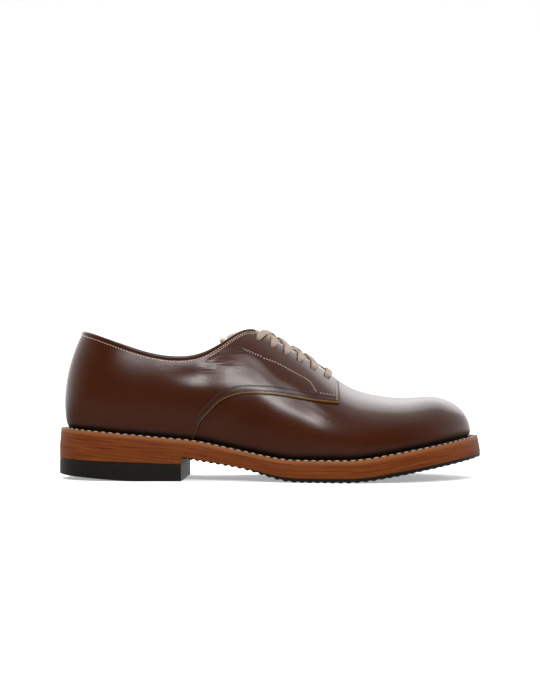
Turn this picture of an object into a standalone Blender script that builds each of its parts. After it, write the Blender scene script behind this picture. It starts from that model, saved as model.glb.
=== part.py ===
"""Low quarter shoe: one right plain-toe derby, toe to +X, lateral side to -Y, standing on z = 0.

The tables hold millimetres: x from the back of the heel, y from the heel's middle line with the lateral side negative, z from the floor. The last lines move the shoe so that the origin is under its middle, and turn it into metres.

The upper is one function, arch(u, q). u runs from the back seam (0) to the toe (1). q runs over the foot: 0 at the lateral feather edge, 1 at the lateral collar or facing edge, 2 at the medial one and 3 at the medial feather edge. Upper, quarters, tongue and lace are sheets between two offsets of that one surface.
"""

from collections import namedtuple

import bpy
import numpy as np

MM = 0.001
GAP = 0.3  # clearance between two pieces that meet
SHARP_ANGLE = np.radians(40)

# Sole stack, from the welt's top face down
WELT_THICK = 3.2
MIDSOLE_THICK = 8.2
OUTSOLE_THICK = 2.8
WAIST_OUTSOLE_THICK = 1.4
SOLE_THICK = WELT_THICK + MIDSOLE_THICK + OUTSOLE_THICK + 2 * GAP
INSOLE_ABOVE_WELT = 1.0

# Heel
HEEL_BREAST_X = 92.5
HEEL_FLAT_FROM_X = 52.0
HEEL_BACK_LIFT = 3.0
HEEL_JOINT_BACK_Z = 15.2  # where the leather lift meets the rubber top piece
HEEL_JOINT_BREAST_Z = 11.6

# Upper
UPPER_WALL = 1.8
QUARTER_THICK = 1.4
QUARTER_OUT = GAP + QUARTER_THICK
TONGUE_THICK = 2.0
TONGUE_IN = UPPER_WALL + 0.75
WELT_UNDER_UPPER = 3.0  # how far the welt's inner edge lies inside the feather line
INSOLE_IN = WELT_UNDER_UPPER + 0.4
CROWN_FULLNESS = 0.36
BACK_SEAM_HALF_GAP = 0.2

# Throat
VAMP_REAR_X = 189.6
EYELET_FIRST_X = 192.0
EYELET_STEP_X = 9.6
EYELET_PAIRS = 6
EYELET_DOWN = 9.5  # below the facing edge, along the leather
EYELET_RADIUS = 1.75
TONGUE_X = (117.0, 206.0)
TONGUE_HALF_WIDTH = 24.0

# Lace
LACE_WIDTH = 4.0
LACE_THICK = 1.4
LACE_OUT = QUARTER_OUT + 0.7
LACE_OUT_FIRST = 0.35
LACE_INSIDE_EDGE = 1.0

# How steep the welt's top face is along the shoe. Level under the ball, it climbs to the heel and to the toe.
Slope = namedtuple("Slope", "x rise")
SOLE_SLOPES = [
    Slope(-20, -0.09),
    Slope(92, -0.09),
    Slope(108, -0.21),
    Slope(152, -0.21),
    Slope(172, 0.0),
    Slope(200, 0.0),
    Slope(224, 0.178),
    Slope(330, 0.178),
]
LEVEL_X = 186.0

# Feather line, where the upper meets the welt, and how far the sole's edge stands out from it
Feather = namedtuple("Feather", "x y_lat y_med welt")
FEATHER = [
    Feather(8.0, 0.0, 0.0, 6.3),
    Feather(14.0, -16.5, 16.5, 6.4),
    Feather(28.0, -25.2, 25.0, 6.6),
    Feather(55.0, -29.2, 28.2, 6.8),
    Feather(90.0, -29.4, 26.4, 6.6),
    Feather(125.0, -33.0, 25.2, 5.8),
    Feather(160.0, -41.0, 31.8, 5.5),
    Feather(190.0, -47.3, 41.0, 5.5),
    Feather(215.0, -48.8, 46.2, 5.5),
    Feather(240.0, -46.2, 47.2, 5.5),
    Feather(264.0, -37.6, 42.4, 5.4),
    Feather(283.0, -24.6, 32.6, 5.3),
    Feather(293.5, -11.6, 21.2, 5.2),
    Feather(298.2, 4.0, 4.0, 5.1),
]

# Half sections. lean moves the top edge forward, y and z place it, angle is its lean from the vertical, tilt that of the wall at the welt, low and high are the lengths of the two handles as shares of the chord.
Section = namedtuple("Section", "x lean y_lat y_med z_lat z_med angle tilt low high")
SECTIONS = [
    Section(8.0, 11.2, 0.0, 0.0, 105.6, 105.6, 27, 14, 0.34, 0.31),
    Section(18.0, 8.0, -16.6, 16.4, 103.0, 103.2, 25, 14, 0.35, 0.33),
    Section(40.0, 3.0, -24.8, 24.2, 96.8, 97.6, 17, 13, 0.36, 0.35),
    Section(65.0, 0.5, -27.2, 26.0, 89.4, 90.6, 13, 12, 0.36, 0.34),
    Section(88.0, 0.0, -27.6, 26.2, 86.0, 87.4, 14, 12, 0.36, 0.34),
    Section(107.0, 0.0, -25.2, 24.6, 89.4, 90.9, 22, 11, 0.36, 0.34),
    Section(123.0, 0.0, -17.8, 18.4, 98.8, 100.5, 40, 10, 0.35, 0.35),
    Section(138.0, 0.0, -7.9, 10.2, 105.6, 107.4, 56, 9, 0.35, 0.34),
    Section(147.0, 0.0, -7.2, 10.6, 102.4, 104.4, 58, 9, 0.35, 0.34),
    Section(165.0, 0.0, -6.6, 11.0, 92.2, 94.1, 60, 9, 0.35, 0.34),
    Section(183.0, 0.0, -6.0, 11.3, 81.6, 83.0, 63, 9, 0.35, 0.36),
    Section(200.0, 0.0, -5.3, 11.4, 70.2, 70.9, 67, 8, 0.36, 0.39),
    Section(211.0, 0.0, -4.7, 11.5, 63.8, 64.4, 70, 8, 0.37, 0.42),
    Section(225.0, 0.0, -4.0, 11.5, 59.6, 60.0, 74, 8, 0.38, 0.45),
    Section(250.0, 0.0, -3.0, 11.0, 57.2, 57.3, 78, 8, 0.41, 0.48),
    Section(270.0, 0.0, -2.0, 9.6, 58.2, 58.1, 79, 8, 0.43, 0.50),
    Section(284.0, 0.0, -0.4, 8.0, 54.6, 54.5, 78, 8, 0.44, 0.50),
    Section(293.5, 0.0, 1.4, 6.2, 47.2, 47.1, 76, 8, 0.44, 0.50),
    Section(298.2, 0.0, 4.0, 4.0, 31.9, 31.9, 70, 8, 0.44, 0.50),
]

# Lower edge of a quarter in front of the heel, and how far its top edge is cut back at the rounded front corner
Seam = namedtuple("Seam", "x z")
QUARTER_SEAM = [
    Seam(99.5, 29.0),
    Seam(103.0, 38.5),
    Seam(108.8, 46.0),
    Seam(115.6, 53.0),
    Seam(123.8, 57.8),
    Seam(133.0, 60.2),
    Seam(144.0, 60.3),
    Seam(160.0, 59.0),
    Seam(180.0, 55.7),
    Seam(201.0, 53.2),
]
Corner = namedtuple("Corner", "x cut_top cut_bottom")
QUARTER_FRONT = [
    Corner(180.0, 0.0, 0.0),
    Corner(196.6, 0.0, 0.0),
    Corner(199.2, 1.0, 0.0),
    Corner(200.7, 3.4, 1.6),
]

# Leather and rubber as seen in the photo, in linear colour
Finish = namedtuple("Finish", "name colour roughness")
BROWN = Finish("brown_leather", (0.060, 0.018, 0.010), 0.30)
LINING = Finish("lining_leather", (0.300, 0.170, 0.090), 0.60)
TAN = Finish("tan_sole_leather", (0.230, 0.066, 0.020), 0.45)
BLACK = Finish("black_rubber", (0.012, 0.011, 0.010), 0.60)
TAUPE = Finish("taupe_lace", (0.480, 0.360, 0.280), 0.80)


def spline(xs, ys):
    """Natural cubic spline through a table's column, as a function that takes an array."""
    xs, ys = np.asarray(xs, float), np.asarray(ys, float)
    step = np.diff(xs)
    n = len(xs)
    rows, right = np.eye(n), np.zeros(n)
    for i in range(1, n - 1):
        rows[i, i - 1 : i + 2] = step[i - 1], 2 * (step[i - 1] + step[i]), step[i]
        right[i] = 6 * ((ys[i + 1] - ys[i]) / step[i] - (ys[i] - ys[i - 1]) / step[i - 1])
    bend = np.linalg.solve(rows, right)

    def value(x):
        x = np.asarray(x, float)
        i = np.clip(np.searchsorted(xs, x) - 1, 0, n - 2)
        h, a, b = step[i], xs[i + 1] - x, x - xs[i]
        return (
            (bend[i] * a**3 + bend[i + 1] * b**3) / (6 * h)
            + (ys[i] / h - bend[i] * h / 6) * a
            + (ys[i + 1] / h - bend[i + 1] * h / 6) * b
        )

    return value


def column(table, name):
    return np.array([getattr(row, name) for row in table], float)


BACK_X, TIP_X = FEATHER[0].x, FEATHER[-1].x


def u_at(x):
    """Station of a length along the shoe. Stations crowd at both ends, so that heel and toe come out round."""
    share = np.clip((np.asarray(x, float) - BACK_X) / (TIP_X - BACK_X), 0, 1)
    return np.arccos(1 - 2 * share) / np.pi


def x_at(u):
    return BACK_X + (TIP_X - BACK_X) * (1 - np.cos(np.pi * np.asarray(u, float))) / 2


def by_station(table):
    at = u_at(column(table, "x"))
    return {name: spline(at, column(table, name)) for name in table[0]._fields[1:]}


FEATHER_AT = by_station(FEATHER)
SECTION_AT = by_station(SECTIONS)

_FINE_X = np.linspace(-20, 330, 7001)
_FINE_SLOPE = np.interp(_FINE_X, column(SOLE_SLOPES, "x"), column(SOLE_SLOPES, "rise"))
_FINE_Z = np.concatenate(
    [[0], np.cumsum((_FINE_SLOPE[1:] + _FINE_SLOPE[:-1]) / 2 * np.diff(_FINE_X))]
)
_FINE_Z += SOLE_THICK - np.interp(LEVEL_X, _FINE_X, _FINE_Z)


def sole_z(x):
    """Height of the welt's top face."""
    return np.interp(x, _FINE_X, _FINE_Z)


def under_sole(points, depth):
    """Points on the welt's top face moved into the sole, square to it."""
    rise = np.interp(points[:, 0], _FINE_X, _FINE_SLOPE)
    size = np.hypot(1, rise)
    moved = points.copy()
    moved[:, 0] += depth * rise / size
    moved[:, 2] -= depth / size
    return moved


def feather_line(u, side, out=0.0):
    """Points on the welt's top face, out from the feather line by a distance. side is lat or med."""
    u = np.atleast_1d(np.asarray(u, float))
    step = 1e-4
    low, high = np.clip(u - step, 0, 1), np.clip(u + step, 0, 1)
    y_of = FEATHER_AT["y_" + side]
    along_x, along_y = x_at(high) - x_at(low), y_of(high) - y_of(low)
    size = np.hypot(along_x, along_y)
    turn = 1 if side == "lat" else -1
    normal = np.stack([turn * along_y / size, -turn * along_x / size], 1)
    normal[u < 1e-6] = -1, 0
    normal[u > 1 - 1e-6] = 1, 0
    flat = np.stack([x_at(u), y_of(u)], 1) + normal * np.reshape(out, (-1, 1))
    return np.column_stack([flat, sole_z(flat[:, 0])]), normal


def bezier(p, t):
    t = np.reshape(t, (-1, 1))
    return (
        (1 - t) ** 3 * p[0]
        + 3 * (1 - t) ** 2 * t * p[1]
        + 3 * (1 - t) * t**2 * p[2]
        + t**3 * p[3]
    )


def section(u):
    """The three curves of one section: lateral wall, crown over the instep, medial wall, each from low q to high q."""
    row = {name: float(value(u)) for name, value in SECTION_AT.items()}
    angle, tilt = np.radians(row["angle"]), np.radians(row["tilt"])
    walls, tops = [], []
    for side, turn in (("lat", 1.0), ("med", -1.0)):
        foot, normal = feather_line(u, side)
        foot, normal = foot[0] + [0, 0, GAP], normal[0]
        top = np.array([x_at(u) + row["lean"], row["y_" + side], row["z_" + side]])
        chord = np.linalg.norm(top - foot)
        across = np.clip((x_at(u) - 60.0) / 50.0, 0, 1)
        inward = -normal * (1 - across) + np.array([0, turn]) * across
        inward /= np.linalg.norm(inward)
        rise = np.array([*(inward * np.sin(angle)), np.cos(angle)])
        flare = np.array([*(normal * np.sin(tilt)), np.cos(tilt)])
        walls.append(
            [
                foot,
                foot + row["low"] * chord * flare,
                top - row["high"] * chord * rise,
                top,
            ]
        )
        tops.append((top, rise))
    reach = CROWN_FULLNESS * np.linalg.norm(tops[1][0] - tops[0][0])
    crown = [
        tops[0][0],
        tops[0][0] + reach * tops[0][1],
        tops[1][0] + reach * tops[1][1],
        tops[1][0],
    ]
    return walls[0], crown, walls[1][::-1]


def arch(u, q):
    """Points of the upper's surface at one station."""
    q = np.atleast_1d(np.asarray(q, float))
    curves = section(u)
    found = np.empty((len(q), 3))
    for i, curve in enumerate(curves):
        inside = (q >= i) & ((q < i + 1) | (i == 2))
        found[inside] = bezier(np.array(curve), q[inside] - i)
    return found


def arch_normal(u, q):
    if u > 0.9999:
        return np.tile([0.96, 0.0, 0.28], (len(q), 1))
    step = 2e-4
    along = arch(min(u + step, 1), q) - arch(max(u - step, 0), q)
    over = arch(u, np.clip(q + step, 0, 3)) - arch(u, np.clip(q - step, 0, 3))
    normal = np.cross(along, over)
    size = np.linalg.norm(normal, axis=1, keepdims=True)
    return normal / np.maximum(size, 1e-12)


def shelled(u, q, out):
    """Surface points moved out along the normal. The feather edge stays clear of the welt."""
    q = np.atleast_1d(np.asarray(q, float))
    points = arch(u, q) + out * arch_normal(u, q)
    edge = (q < 1e-6) | (q > 3 - 1e-6)
    points[edge, 2] = sole_z(points[edge, 0]) + GAP
    return points


def q_below_edge(u, side, below):
    """q at a distance below the collar or facing edge, measured along the leather."""
    t = np.linspace(0, 1, 161)
    q = 1 - t if side == "lat" else 2 + t
    line = arch(u, q)
    run = np.concatenate([[0], np.cumsum(np.linalg.norm(np.diff(line, axis=0), axis=1))])
    return np.interp(below, run, q), run[-1]


def q_across(u, distance):
    """q at a distance from the middle of the crown, along the surface, lateral negative."""
    q = np.linspace(0.3, 2.7, 481)
    line = arch(u, q)
    run = np.concatenate([[0], np.cumsum(np.linalg.norm(np.diff(line, axis=0), axis=1))])
    return np.interp(distance + np.interp(1.5, q, run), run, q)


def material(finish):
    made = bpy.data.materials.get(finish.name) or bpy.data.materials.new(finish.name)
    made.use_nodes = True
    surface = made.node_tree.nodes["Principled BSDF"]
    surface.inputs["Base Color"].default_value = (*finish.colour, 1)
    surface.inputs["Roughness"].default_value = finish.roughness
    made.diffuse_color = (*finish.colour, 1)
    return made


def solid(name, outer, inner, faces, finish):
    """One closed body between two matching sheets. Points that fall together are welded, and open edges get a rim."""
    outer, inner = np.asarray(outer, float), np.asarray(inner, float)
    _, weld = np.unique(np.round(outer, 4), axis=0, return_inverse=True)
    weld = weld.reshape(-1)
    count = weld.max() + 1
    share = np.bincount(weld, minlength=count)[:, None]
    both = []
    for points in (outer, inner):
        total = np.zeros((count, 3))
        np.add.at(total, weld, points)
        both.append(total / share)
    sheet = []
    for face in faces:
        kept = [int(weld[i]) for i in face]
        kept = [i for n, i in enumerate(kept) if i != kept[n - 1]]
        if len(kept) > 2:
            sheet.append(kept)
    kept = sorted({i for face in sheet for i in face})
    place = {i: n for n, i in enumerate(kept)}
    both = [points[kept] for points in both]
    count = len(kept)
    sheet = [[place[i] for i in face] for face in sheet]
    used = {(a, b) for face in sheet for a, b in zip(face, face[1:] + face[:1])}
    every = list(sheet)
    every += [[i + count for i in reversed(face)] for face in sheet]
    every += [[b, a, a + count, b + count] for a, b in sorted(used) if (b, a) not in used]
    mesh = bpy.data.meshes.new(name)
    mesh.from_pydata((np.concatenate(both)).tolist(), [], every)
    mesh.materials.append(material(finish))
    mesh.shade_smooth()
    mesh.set_sharp_from_angle(angle=SHARP_ANGLE)
    made = bpy.data.objects.new(name, mesh)
    bpy.context.collection.objects.link(made)
    return made


def grid_faces(rows, columns, keep=None):
    """Cells of a grid of points stored row by row: each row is a station, each column a place over the foot."""
    return [
        (
            r * columns + c,
            (r + 1) * columns + c,
            (r + 1) * columns + c + 1,
            r * columns + c + 1,
        )
        for r in range(rows - 1)
        for c in range(columns - 1)
        if keep is None or keep(r, c)
    ]


def stations(*spans):
    """Stations along the shoe from spans of (first x, last x, steps), even in u."""
    found = []
    for first, last, steps in spans:
        found.extend(np.linspace(u_at(first), u_at(last), steps + 1))
    return np.unique(np.round(found, 9))


def eyelet_x():
    return [EYELET_FIRST_X - EYELET_STEP_X * k for k in range(EYELET_PAIRS)]


def throat_stations():
    """Two stations for each eyelet, so that every eyelet has a cell of its own."""
    half = EYELET_STEP_X / 4
    return [u_at(x + turn * half) for x in eyelet_x() for turn in (-1, 1)]


def punch(faces, outer, inner, cell, middle_outer, middle_inner):
    """Replaces one cell of a sheet by a ring of faces round an eyelet."""
    corners = list(faces.pop(faces.index(cell)))
    first = len(outer)
    for points, middle in ((outer, middle_outer), (inner, middle_inner)):
        ring = np.array([points[i] for i in corners])
        toward = [ring[0], (ring[0] + ring[1]) / 2, ring[1], (ring[1] + ring[2]) / 2]
        toward += [ring[2], (ring[2] + ring[3]) / 2, ring[3], (ring[3] + ring[0]) / 2]
        along = ring[1] - ring[0]
        along /= np.linalg.norm(along)
        normal = np.cross(ring[1] - ring[0], ring[3] - ring[0])
        normal /= np.linalg.norm(normal)
        side = np.cross(normal, along)
        start = np.arctan2((toward[0] - middle) @ side, (toward[0] - middle) @ along)
        for k in range(8):
            turn = start + k * np.pi / 4
            points.append(middle + EYELET_RADIUS * (np.cos(turn) * along + np.sin(turn) * side))
    for k in range(4):
        faces.append(
            (
                corners[k],
                corners[(k + 1) % 4],
                first + (2 * k + 2) % 8,
                first + 2 * k + 1,
                first + 2 * k,
            )
        )


ROWS_BELOW_EDGE = (0.0, 3.6, EYELET_DOWN - 2.3, EYELET_DOWN + 2.3)  # the eyelet's cell lies between the last two
TOP_ROWS = len(ROWS_BELOW_EDGE) - 1


def wall_rows(u, side, cut_top, bottom_q, even_steps):
    """q of the rows of one wall, from its lower edge to its top edge."""
    length = q_below_edge(u, side, 0)[1]
    shrink = min(1.0, length / 66.0)
    tops = q_below_edge(u, side, cut_top + shrink * np.array(ROWS_BELOW_EDGE))[0]
    return np.concatenate([np.linspace(bottom_q, tops[-1], even_steps + 1), tops[-2::-1]])


def make_upper():
    """Vamp and lining as one hollow shell, open at collar, throat and underneath."""
    at = stations((BACK_X, 40, 7), (40, 88, 6), (88, 132, 6), (206, 262, 8), (262, TIP_X, 8))
    at = np.unique(np.round(np.concatenate([at, throat_stations(), [u_at(137.0), u_at(200.0)]]), 9))
    even, crown = 7, 4
    outer, inner = [], []
    for u in at:
        lat = wall_rows(u, "lat", 0.0, 0.0, even)
        med = wall_rows(u, "med", 0.0, 3.0, even)
        middle = np.linspace(1, 2, crown + 1)[1:-1]
        q = np.concatenate([lat, middle, med[::-1]])
        outer.extend(shelled(u, q, 0.0))
        inner.extend(shelled(u, q, -UPPER_WALL))
    columns = len(q)
    wall = even + TOP_ROWS
    rear = int(np.argmin(np.abs(at - u_at(VAMP_REAR_X))))

    def keep(r, c):
        return r >= rear or c < wall or c >= wall + crown

    faces = grid_faces(len(at), columns, keep)
    eyelets_in = [("lat", even), ("med", columns - 2 - even)]
    for x in eyelet_x():
        r = int(np.searchsorted(at, u_at(x))) - 1
        for side, c in eyelets_in:
            cell = (r * columns + c, (r + 1) * columns + c, (r + 1) * columns + c + 1, r * columns + c + 1)
            q_hole = q_below_edge(u_at(x), side, EYELET_DOWN)[0]
            punch(
                faces,
                outer,
                inner,
                cell,
                shelled(u_at(x), q_hole, 0.0)[0],
                shelled(u_at(x), q_hole, -UPPER_WALL)[0],
            )
    return solid("upper", outer, inner, faces, BROWN)


def make_quarter(name, side):
    """One quarter, a sheet over the upper from the back seam to the rounded front corner of its facing."""
    seam_z = spline(column(QUARTER_SEAM, "x"), column(QUARTER_SEAM, "z"))
    front = {k: column(QUARTER_FRONT, k) for k in Corner._fields}
    start = u_at(BACK_X) + BACK_SEAM_HALF_GAP * u_at(FEATHER[1].x) / FEATHER[1].y_med
    at = stations((40, 88, 6), (104, 132, 5))
    more = [u_at(x) for x in (96.0, QUARTER_SEAM[0].x, 101.2, 137.0, 196.6, 199.2, front["x"][-1])]
    at = np.concatenate([np.linspace(start, u_at(40), 8), at, throat_stations(), more])
    at = np.unique(np.round(at, 9))
    even = 6
    outer, inner = [], []
    for u in at:
        x = float(x_at(u))
        cut_top = np.interp(x, front["x"], front["cut_top"])
        bottom = 0.0 if side == "lat" else 3.0
        if x > QUARTER_SEAM[0].x + 0.01:
            q = np.linspace(0, 1, 201) if side == "lat" else np.linspace(3, 2, 201)
            z = seam_z(x) + np.interp(x, front["x"], front["cut_bottom"])
            bottom = float(np.interp(z, arch(u, q)[:, 2], q))
        rows = wall_rows(u, side, cut_top, bottom, even)
        outer.extend(shelled(u, rows, QUARTER_OUT))
        inner.extend(shelled(u, rows, GAP))
    columns = even + 1 + TOP_ROWS
    faces = grid_faces(len(at), columns)
    for x in eyelet_x():
        r = int(np.searchsorted(at, u_at(x))) - 1
        cell = (
            r * columns + even,
            (r + 1) * columns + even,
            (r + 1) * columns + even + 1,
            r * columns + even + 1,
        )
        q_hole = q_below_edge(u_at(x), side, EYELET_DOWN)[0]
        punch(
            faces,
            outer,
            inner,
            cell,
            shelled(u_at(x), q_hole, QUARTER_OUT)[0],
            shelled(u_at(x), q_hole, GAP)[0],
        )
    if side == "med":
        faces = [tuple(reversed(face)) for face in faces]
    return solid(name, outer, inner, faces, BROWN)


def make_tongue():
    """A sheet under the facings, from below the vamp's rear edge to its free end over the collar opening."""
    at = np.linspace(u_at(TONGUE_X[0]), u_at(TONGUE_X[1]), 15)
    columns = 11
    outer, inner = [], []
    for u in at:
        x = float(x_at(u))
        free = np.clip((138.0 - x) / 21.0, 0, 1)
        half = TONGUE_HALF_WIDTH * (1 - 0.55 * free**2) * (1 - 0.25 * np.clip((x - 170) / 36, 0, 1))
        q = q_across(u, np.linspace(-half, half, columns))
        outer.extend(shelled(u, q, -TONGUE_IN))
        inner.extend(shelled(u, q, -TONGUE_IN - TONGUE_THICK))
    return solid("tongue", outer, inner, grid_faces(len(at), columns), BROWN)


def on_crown(x, distance, out):
    u = float(u_at(x))
    return shelled(u, q_across(u, distance), out)[0]


def half_crown(x):
    u = float(u_at(x))
    line = arch(u, np.linspace(1, 2, 81))
    return np.linalg.norm(np.diff(line, axis=0), axis=1).sum() / 2


def lace_solid(name, points, faces, out):
    outer = [on_crown(x, d, out + LACE_THICK) for x, d in points]
    inner = [on_crown(x, d, out) for x, d in points]
    return solid(name, outer, inner, faces, TAUPE)


def make_lace():
    """A straight bar at the lowest pair, and above it one joined crossing for each two pairs."""
    xs = eyelet_x()
    reach = half_crown(xs[0]) + EYELET_DOWN
    places = np.linspace(-reach, reach, 11)
    bar = [(xs[0] + turn * LACE_WIDTH / 2.3, d) for turn in (-1, 1) for d in places]
    made = [lace_solid("lace_bar", bar, grid_faces(2, len(places)), LACE_OUT)]
    for k in range(EYELET_PAIRS - 1):
        made.append(make_crossing(k, xs[k], xs[k + 1]))
    return made


def make_crossing(k, x_low, x_high):
    """Two strands that cross between one pair of eyelets and the next. They leave the lower pair over the facings and end inside the far facing's edge. The first crossing comes from under the facings, so it lies lower and within the throat."""
    slope = np.linalg.norm(on_crown(x_low, 0, 0) - on_crown(x_high, 0, 0)) / (x_low - x_high)
    rise = (x_low - x_high) * slope
    from_eyelet = half_crown(x_low) + EYELET_DOWN
    to_eyelet = half_crown(x_high) + EYELET_DOWN
    low = half_crown(x_low) - LACE_INSIDE_EDGE if k == 0 else from_eyelet
    high = half_crown(x_high) - LACE_INSIDE_EDGE

    def climb(run):
        return rise * (run + from_eyelet) / (from_eyelet + to_eyelet)

    ends = {t: (np.array([climb(-low), t * low]), np.array([climb(high), -t * high])) for t in (-1, 1)}
    along = {t: (b - a) / np.linalg.norm(b - a) for t, (a, b) in ends.items()}
    normal = {t: np.array([-v[1], v[0]]) for t, v in along.items()}
    half = LACE_WIDTH / 2
    lines = np.array([normal[-1], normal[1]])
    middle = np.array([climb(0), 0.0])
    signs = ((1, 1), (1, -1), (-1, -1), (-1, 1))
    corners = [middle + np.linalg.solve(lines, np.multiply(sign, half)) for sign in signs]
    points, faces = [], []

    def add(p):
        points.append((x_low - p[0] / slope, p[1]))
        return len(points) - 1

    ring = [add(p) for p in corners]
    faces.append(tuple(ring))
    steps = 4
    for side in range(4):
        a, b = corners[side], corners[(side + 1) % 4]
        strand = 1 if side in (0, 2) else -1
        forward = ((a + b) / 2 - middle) @ along[strand] > 0
        target = ends[strand][1 if forward else 0]
        out_dir = along[strand] if forward else -along[strand]
        last = [ring[side], ring[(side + 1) % 4]]
        for n in range(1, steps + 1):
            moved = [add(p + out_dir * ((target - p) @ out_dir) * n / steps) for p in (a, b)]
            faces.append((last[1], last[0], moved[0], moved[1]))
            last = moved
    probe = [np.array(points[i]) for i in ring]
    turn = np.cross(np.append(probe[1] - probe[0], 0), np.append(probe[2] - probe[1], 0))[2]
    if turn < 0:
        faces = [tuple(reversed(face)) for face in faces]
    return lace_solid(f"lace_cross_{k + 1}", points, faces, LACE_OUT_FIRST if k == 0 else LACE_OUT)


def plan(at, out):
    """Points over a sole layer's plan, each station with its lateral and its medial edge."""
    lat, med = feather_line(at, "lat", out)[0], feather_line(at, "med", out)[0]
    return np.stack([lat, med], 1).reshape(-1, 3)


def layer(name, at, out, top_depth, bottom_depth, finish):
    """A full sole layer between two depths under the welt's top face."""
    top = under_sole(plan(at, out), top_depth)
    bottom = under_sole(plan(at, out), bottom_depth)
    return solid(name, top, bottom, grid_faces(len(at), 2), finish)


def make_sole():
    at = stations((BACK_X, 92, 13), (92, 216, 15), (216, TIP_X, 15))
    welt = FEATHER_AT["welt"](at)
    deep = WELT_THICK + GAP
    made = [
        layer("insole", at, -INSOLE_IN, -INSOLE_ABOVE_WELT, WELT_THICK, LINING),
        layer("midsole", at, welt, deep, deep + MIDSOLE_THICK, TAN),
    ]
    rings = [[], []]
    for side in ("lat", "med"):
        edge = feather_line(at, side, welt)[0]
        inside = feather_line(at, side, -WELT_UNDER_UPPER)[0]
        for a, b in zip(edge, inside):
            pair = [a, b] if side == "lat" else [b, a]
            rings[0 if side == "lat" else 1].extend(pair)
    top = np.array(rings[0] + rings[1])
    split = len(rings[0])
    faces = grid_faces(len(at), 2)
    faces += [tuple(i + split for i in face) for face in grid_faces(len(at), 2)]
    made.append(solid("welt", top, under_sole(top, WELT_THICK), faces, TAN))

    deep += MIDSOLE_THICK + GAP
    forepart = at[at > u_at(HEEL_BREAST_X + 1.0)]
    forepart = np.concatenate([[u_at(HEEL_BREAST_X + 0.5)], forepart])
    out = FEATHER_AT["welt"](forepart) - 0.4
    flat = plan(forepart, out)
    thick = np.interp(flat[:, 0], (130, 165), (WAIST_OUTSOLE_THICK, OUTSOLE_THICK))
    bottom = under_sole(flat, deep + thick)
    bottom[:, 2] = np.maximum(bottom[:, 2], 0.0)
    made.append(solid("outsole", under_sole(flat, deep), bottom, grid_faces(len(forepart), 2), BLACK))

    rear = np.concatenate([at[at < u_at(HEEL_BREAST_X - 1.0)], [u_at(HEEL_BREAST_X)]])
    top = under_sole(plan(rear, FEATHER_AT["welt"](rear)), deep)
    share = top[:, 0] / HEEL_BREAST_X
    joint = HEEL_JOINT_BACK_Z + (HEEL_JOINT_BREAST_Z - HEEL_JOINT_BACK_Z) * share
    bottom = np.column_stack([top[:, 0], top[:, 1], joint])
    made.append(solid("heel_lift", top, bottom, grid_faces(len(rear), 2), TAN))
    top = np.column_stack([top[:, 0], top[:, 1], joint - GAP])
    rise = np.clip((HEEL_FLAT_FROM_X - top[:, 0]) / HEEL_FLAT_FROM_X, 0, None)
    bottom = np.column_stack([top[:, 0], top[:, 1], HEEL_BACK_LIFT * rise**2])
    made.append(solid("heel_top_piece", top, bottom, grid_faces(len(rear), 2), BLACK))
    return made


def build():
    for old in list(bpy.data.objects):
        bpy.data.objects.remove(old)
    made = make_sole()
    made.append(make_upper())
    made.append(make_quarter("quarter_lateral", "lat"))
    made.append(make_quarter("quarter_medial", "med"))
    made.append(make_tongue())
    made.extend(make_lace())
    corners = np.array([v.co[:] for obj in made for v in obj.data.vertices])
    low, high = corners.min(0), corners.max(0)
    middle = np.array([(low[0] + high[0]) / 2, (low[1] + high[1]) / 2, low[2]])
    for obj in made:
        points = np.array([v.co[:] for v in obj.data.vertices])
        obj.data.vertices.foreach_set("co", ((points - middle) * MM).ravel())
        obj.data.update()
    print("size mm", np.round(high - low, 2), "origin at", np.round(middle, 3))
    counts = {obj.name: sum(len(p.vertices) - 2 for p in obj.data.polygons) for obj in made}
    print("triangles", sum(counts.values()), counts)


build()
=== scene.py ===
# %% [markdown]
# # A plain-toe derby shoe
# A derby is a low shoe whose two side panels, the quarters, lie on top of the front panel, the
# vamp, and are laced over a tongue. This one is polished brown leather on a stitched leather sole
# with a thin rubber tread.
#
# A shoemaker cuts leather flat and pulls it over a last, a wooden foot. This lesson works the
# same way: one function is the last, each panel starts as a flat grid that is pulled over it, and
# the sole is a loft of sections under it. The packed model gives the frame that every piece must
# fit.

# %% Load the packed model
from collections import namedtuple

import bpy
import numpy as np
from mathutils import Matrix


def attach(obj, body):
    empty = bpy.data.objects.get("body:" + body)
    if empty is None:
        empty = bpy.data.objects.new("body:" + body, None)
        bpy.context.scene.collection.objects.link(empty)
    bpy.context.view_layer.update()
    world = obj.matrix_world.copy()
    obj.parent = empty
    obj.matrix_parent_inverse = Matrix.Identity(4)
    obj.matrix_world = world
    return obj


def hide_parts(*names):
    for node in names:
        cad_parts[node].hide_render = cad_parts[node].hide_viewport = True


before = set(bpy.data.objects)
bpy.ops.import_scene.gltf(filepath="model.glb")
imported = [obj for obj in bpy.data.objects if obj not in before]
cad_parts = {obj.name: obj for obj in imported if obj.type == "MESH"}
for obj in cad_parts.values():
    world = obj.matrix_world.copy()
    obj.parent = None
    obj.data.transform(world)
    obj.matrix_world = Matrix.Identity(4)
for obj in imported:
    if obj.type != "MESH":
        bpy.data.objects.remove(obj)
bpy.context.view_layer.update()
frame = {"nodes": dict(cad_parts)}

bpy.ops.object.select_all(action="DESELECT")
print("nodes:", ", ".join(frame["nodes"]))

# %% [markdown]
# ## Working by hand, in code
# Blender's operators act on whatever is selected, and the loaded model arrives selected. So a
# small helper selects exactly what is wanted before each operator. Another adds a modifier and
# applies it at once, so that every piece ends as a plain mesh, and a third hands a piece over to
# the frame: it rides on the shoe and stands for the solids it covers. complete does the last
# steps of a piece in one call.

# %% Small helpers
MM = 0.001


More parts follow.
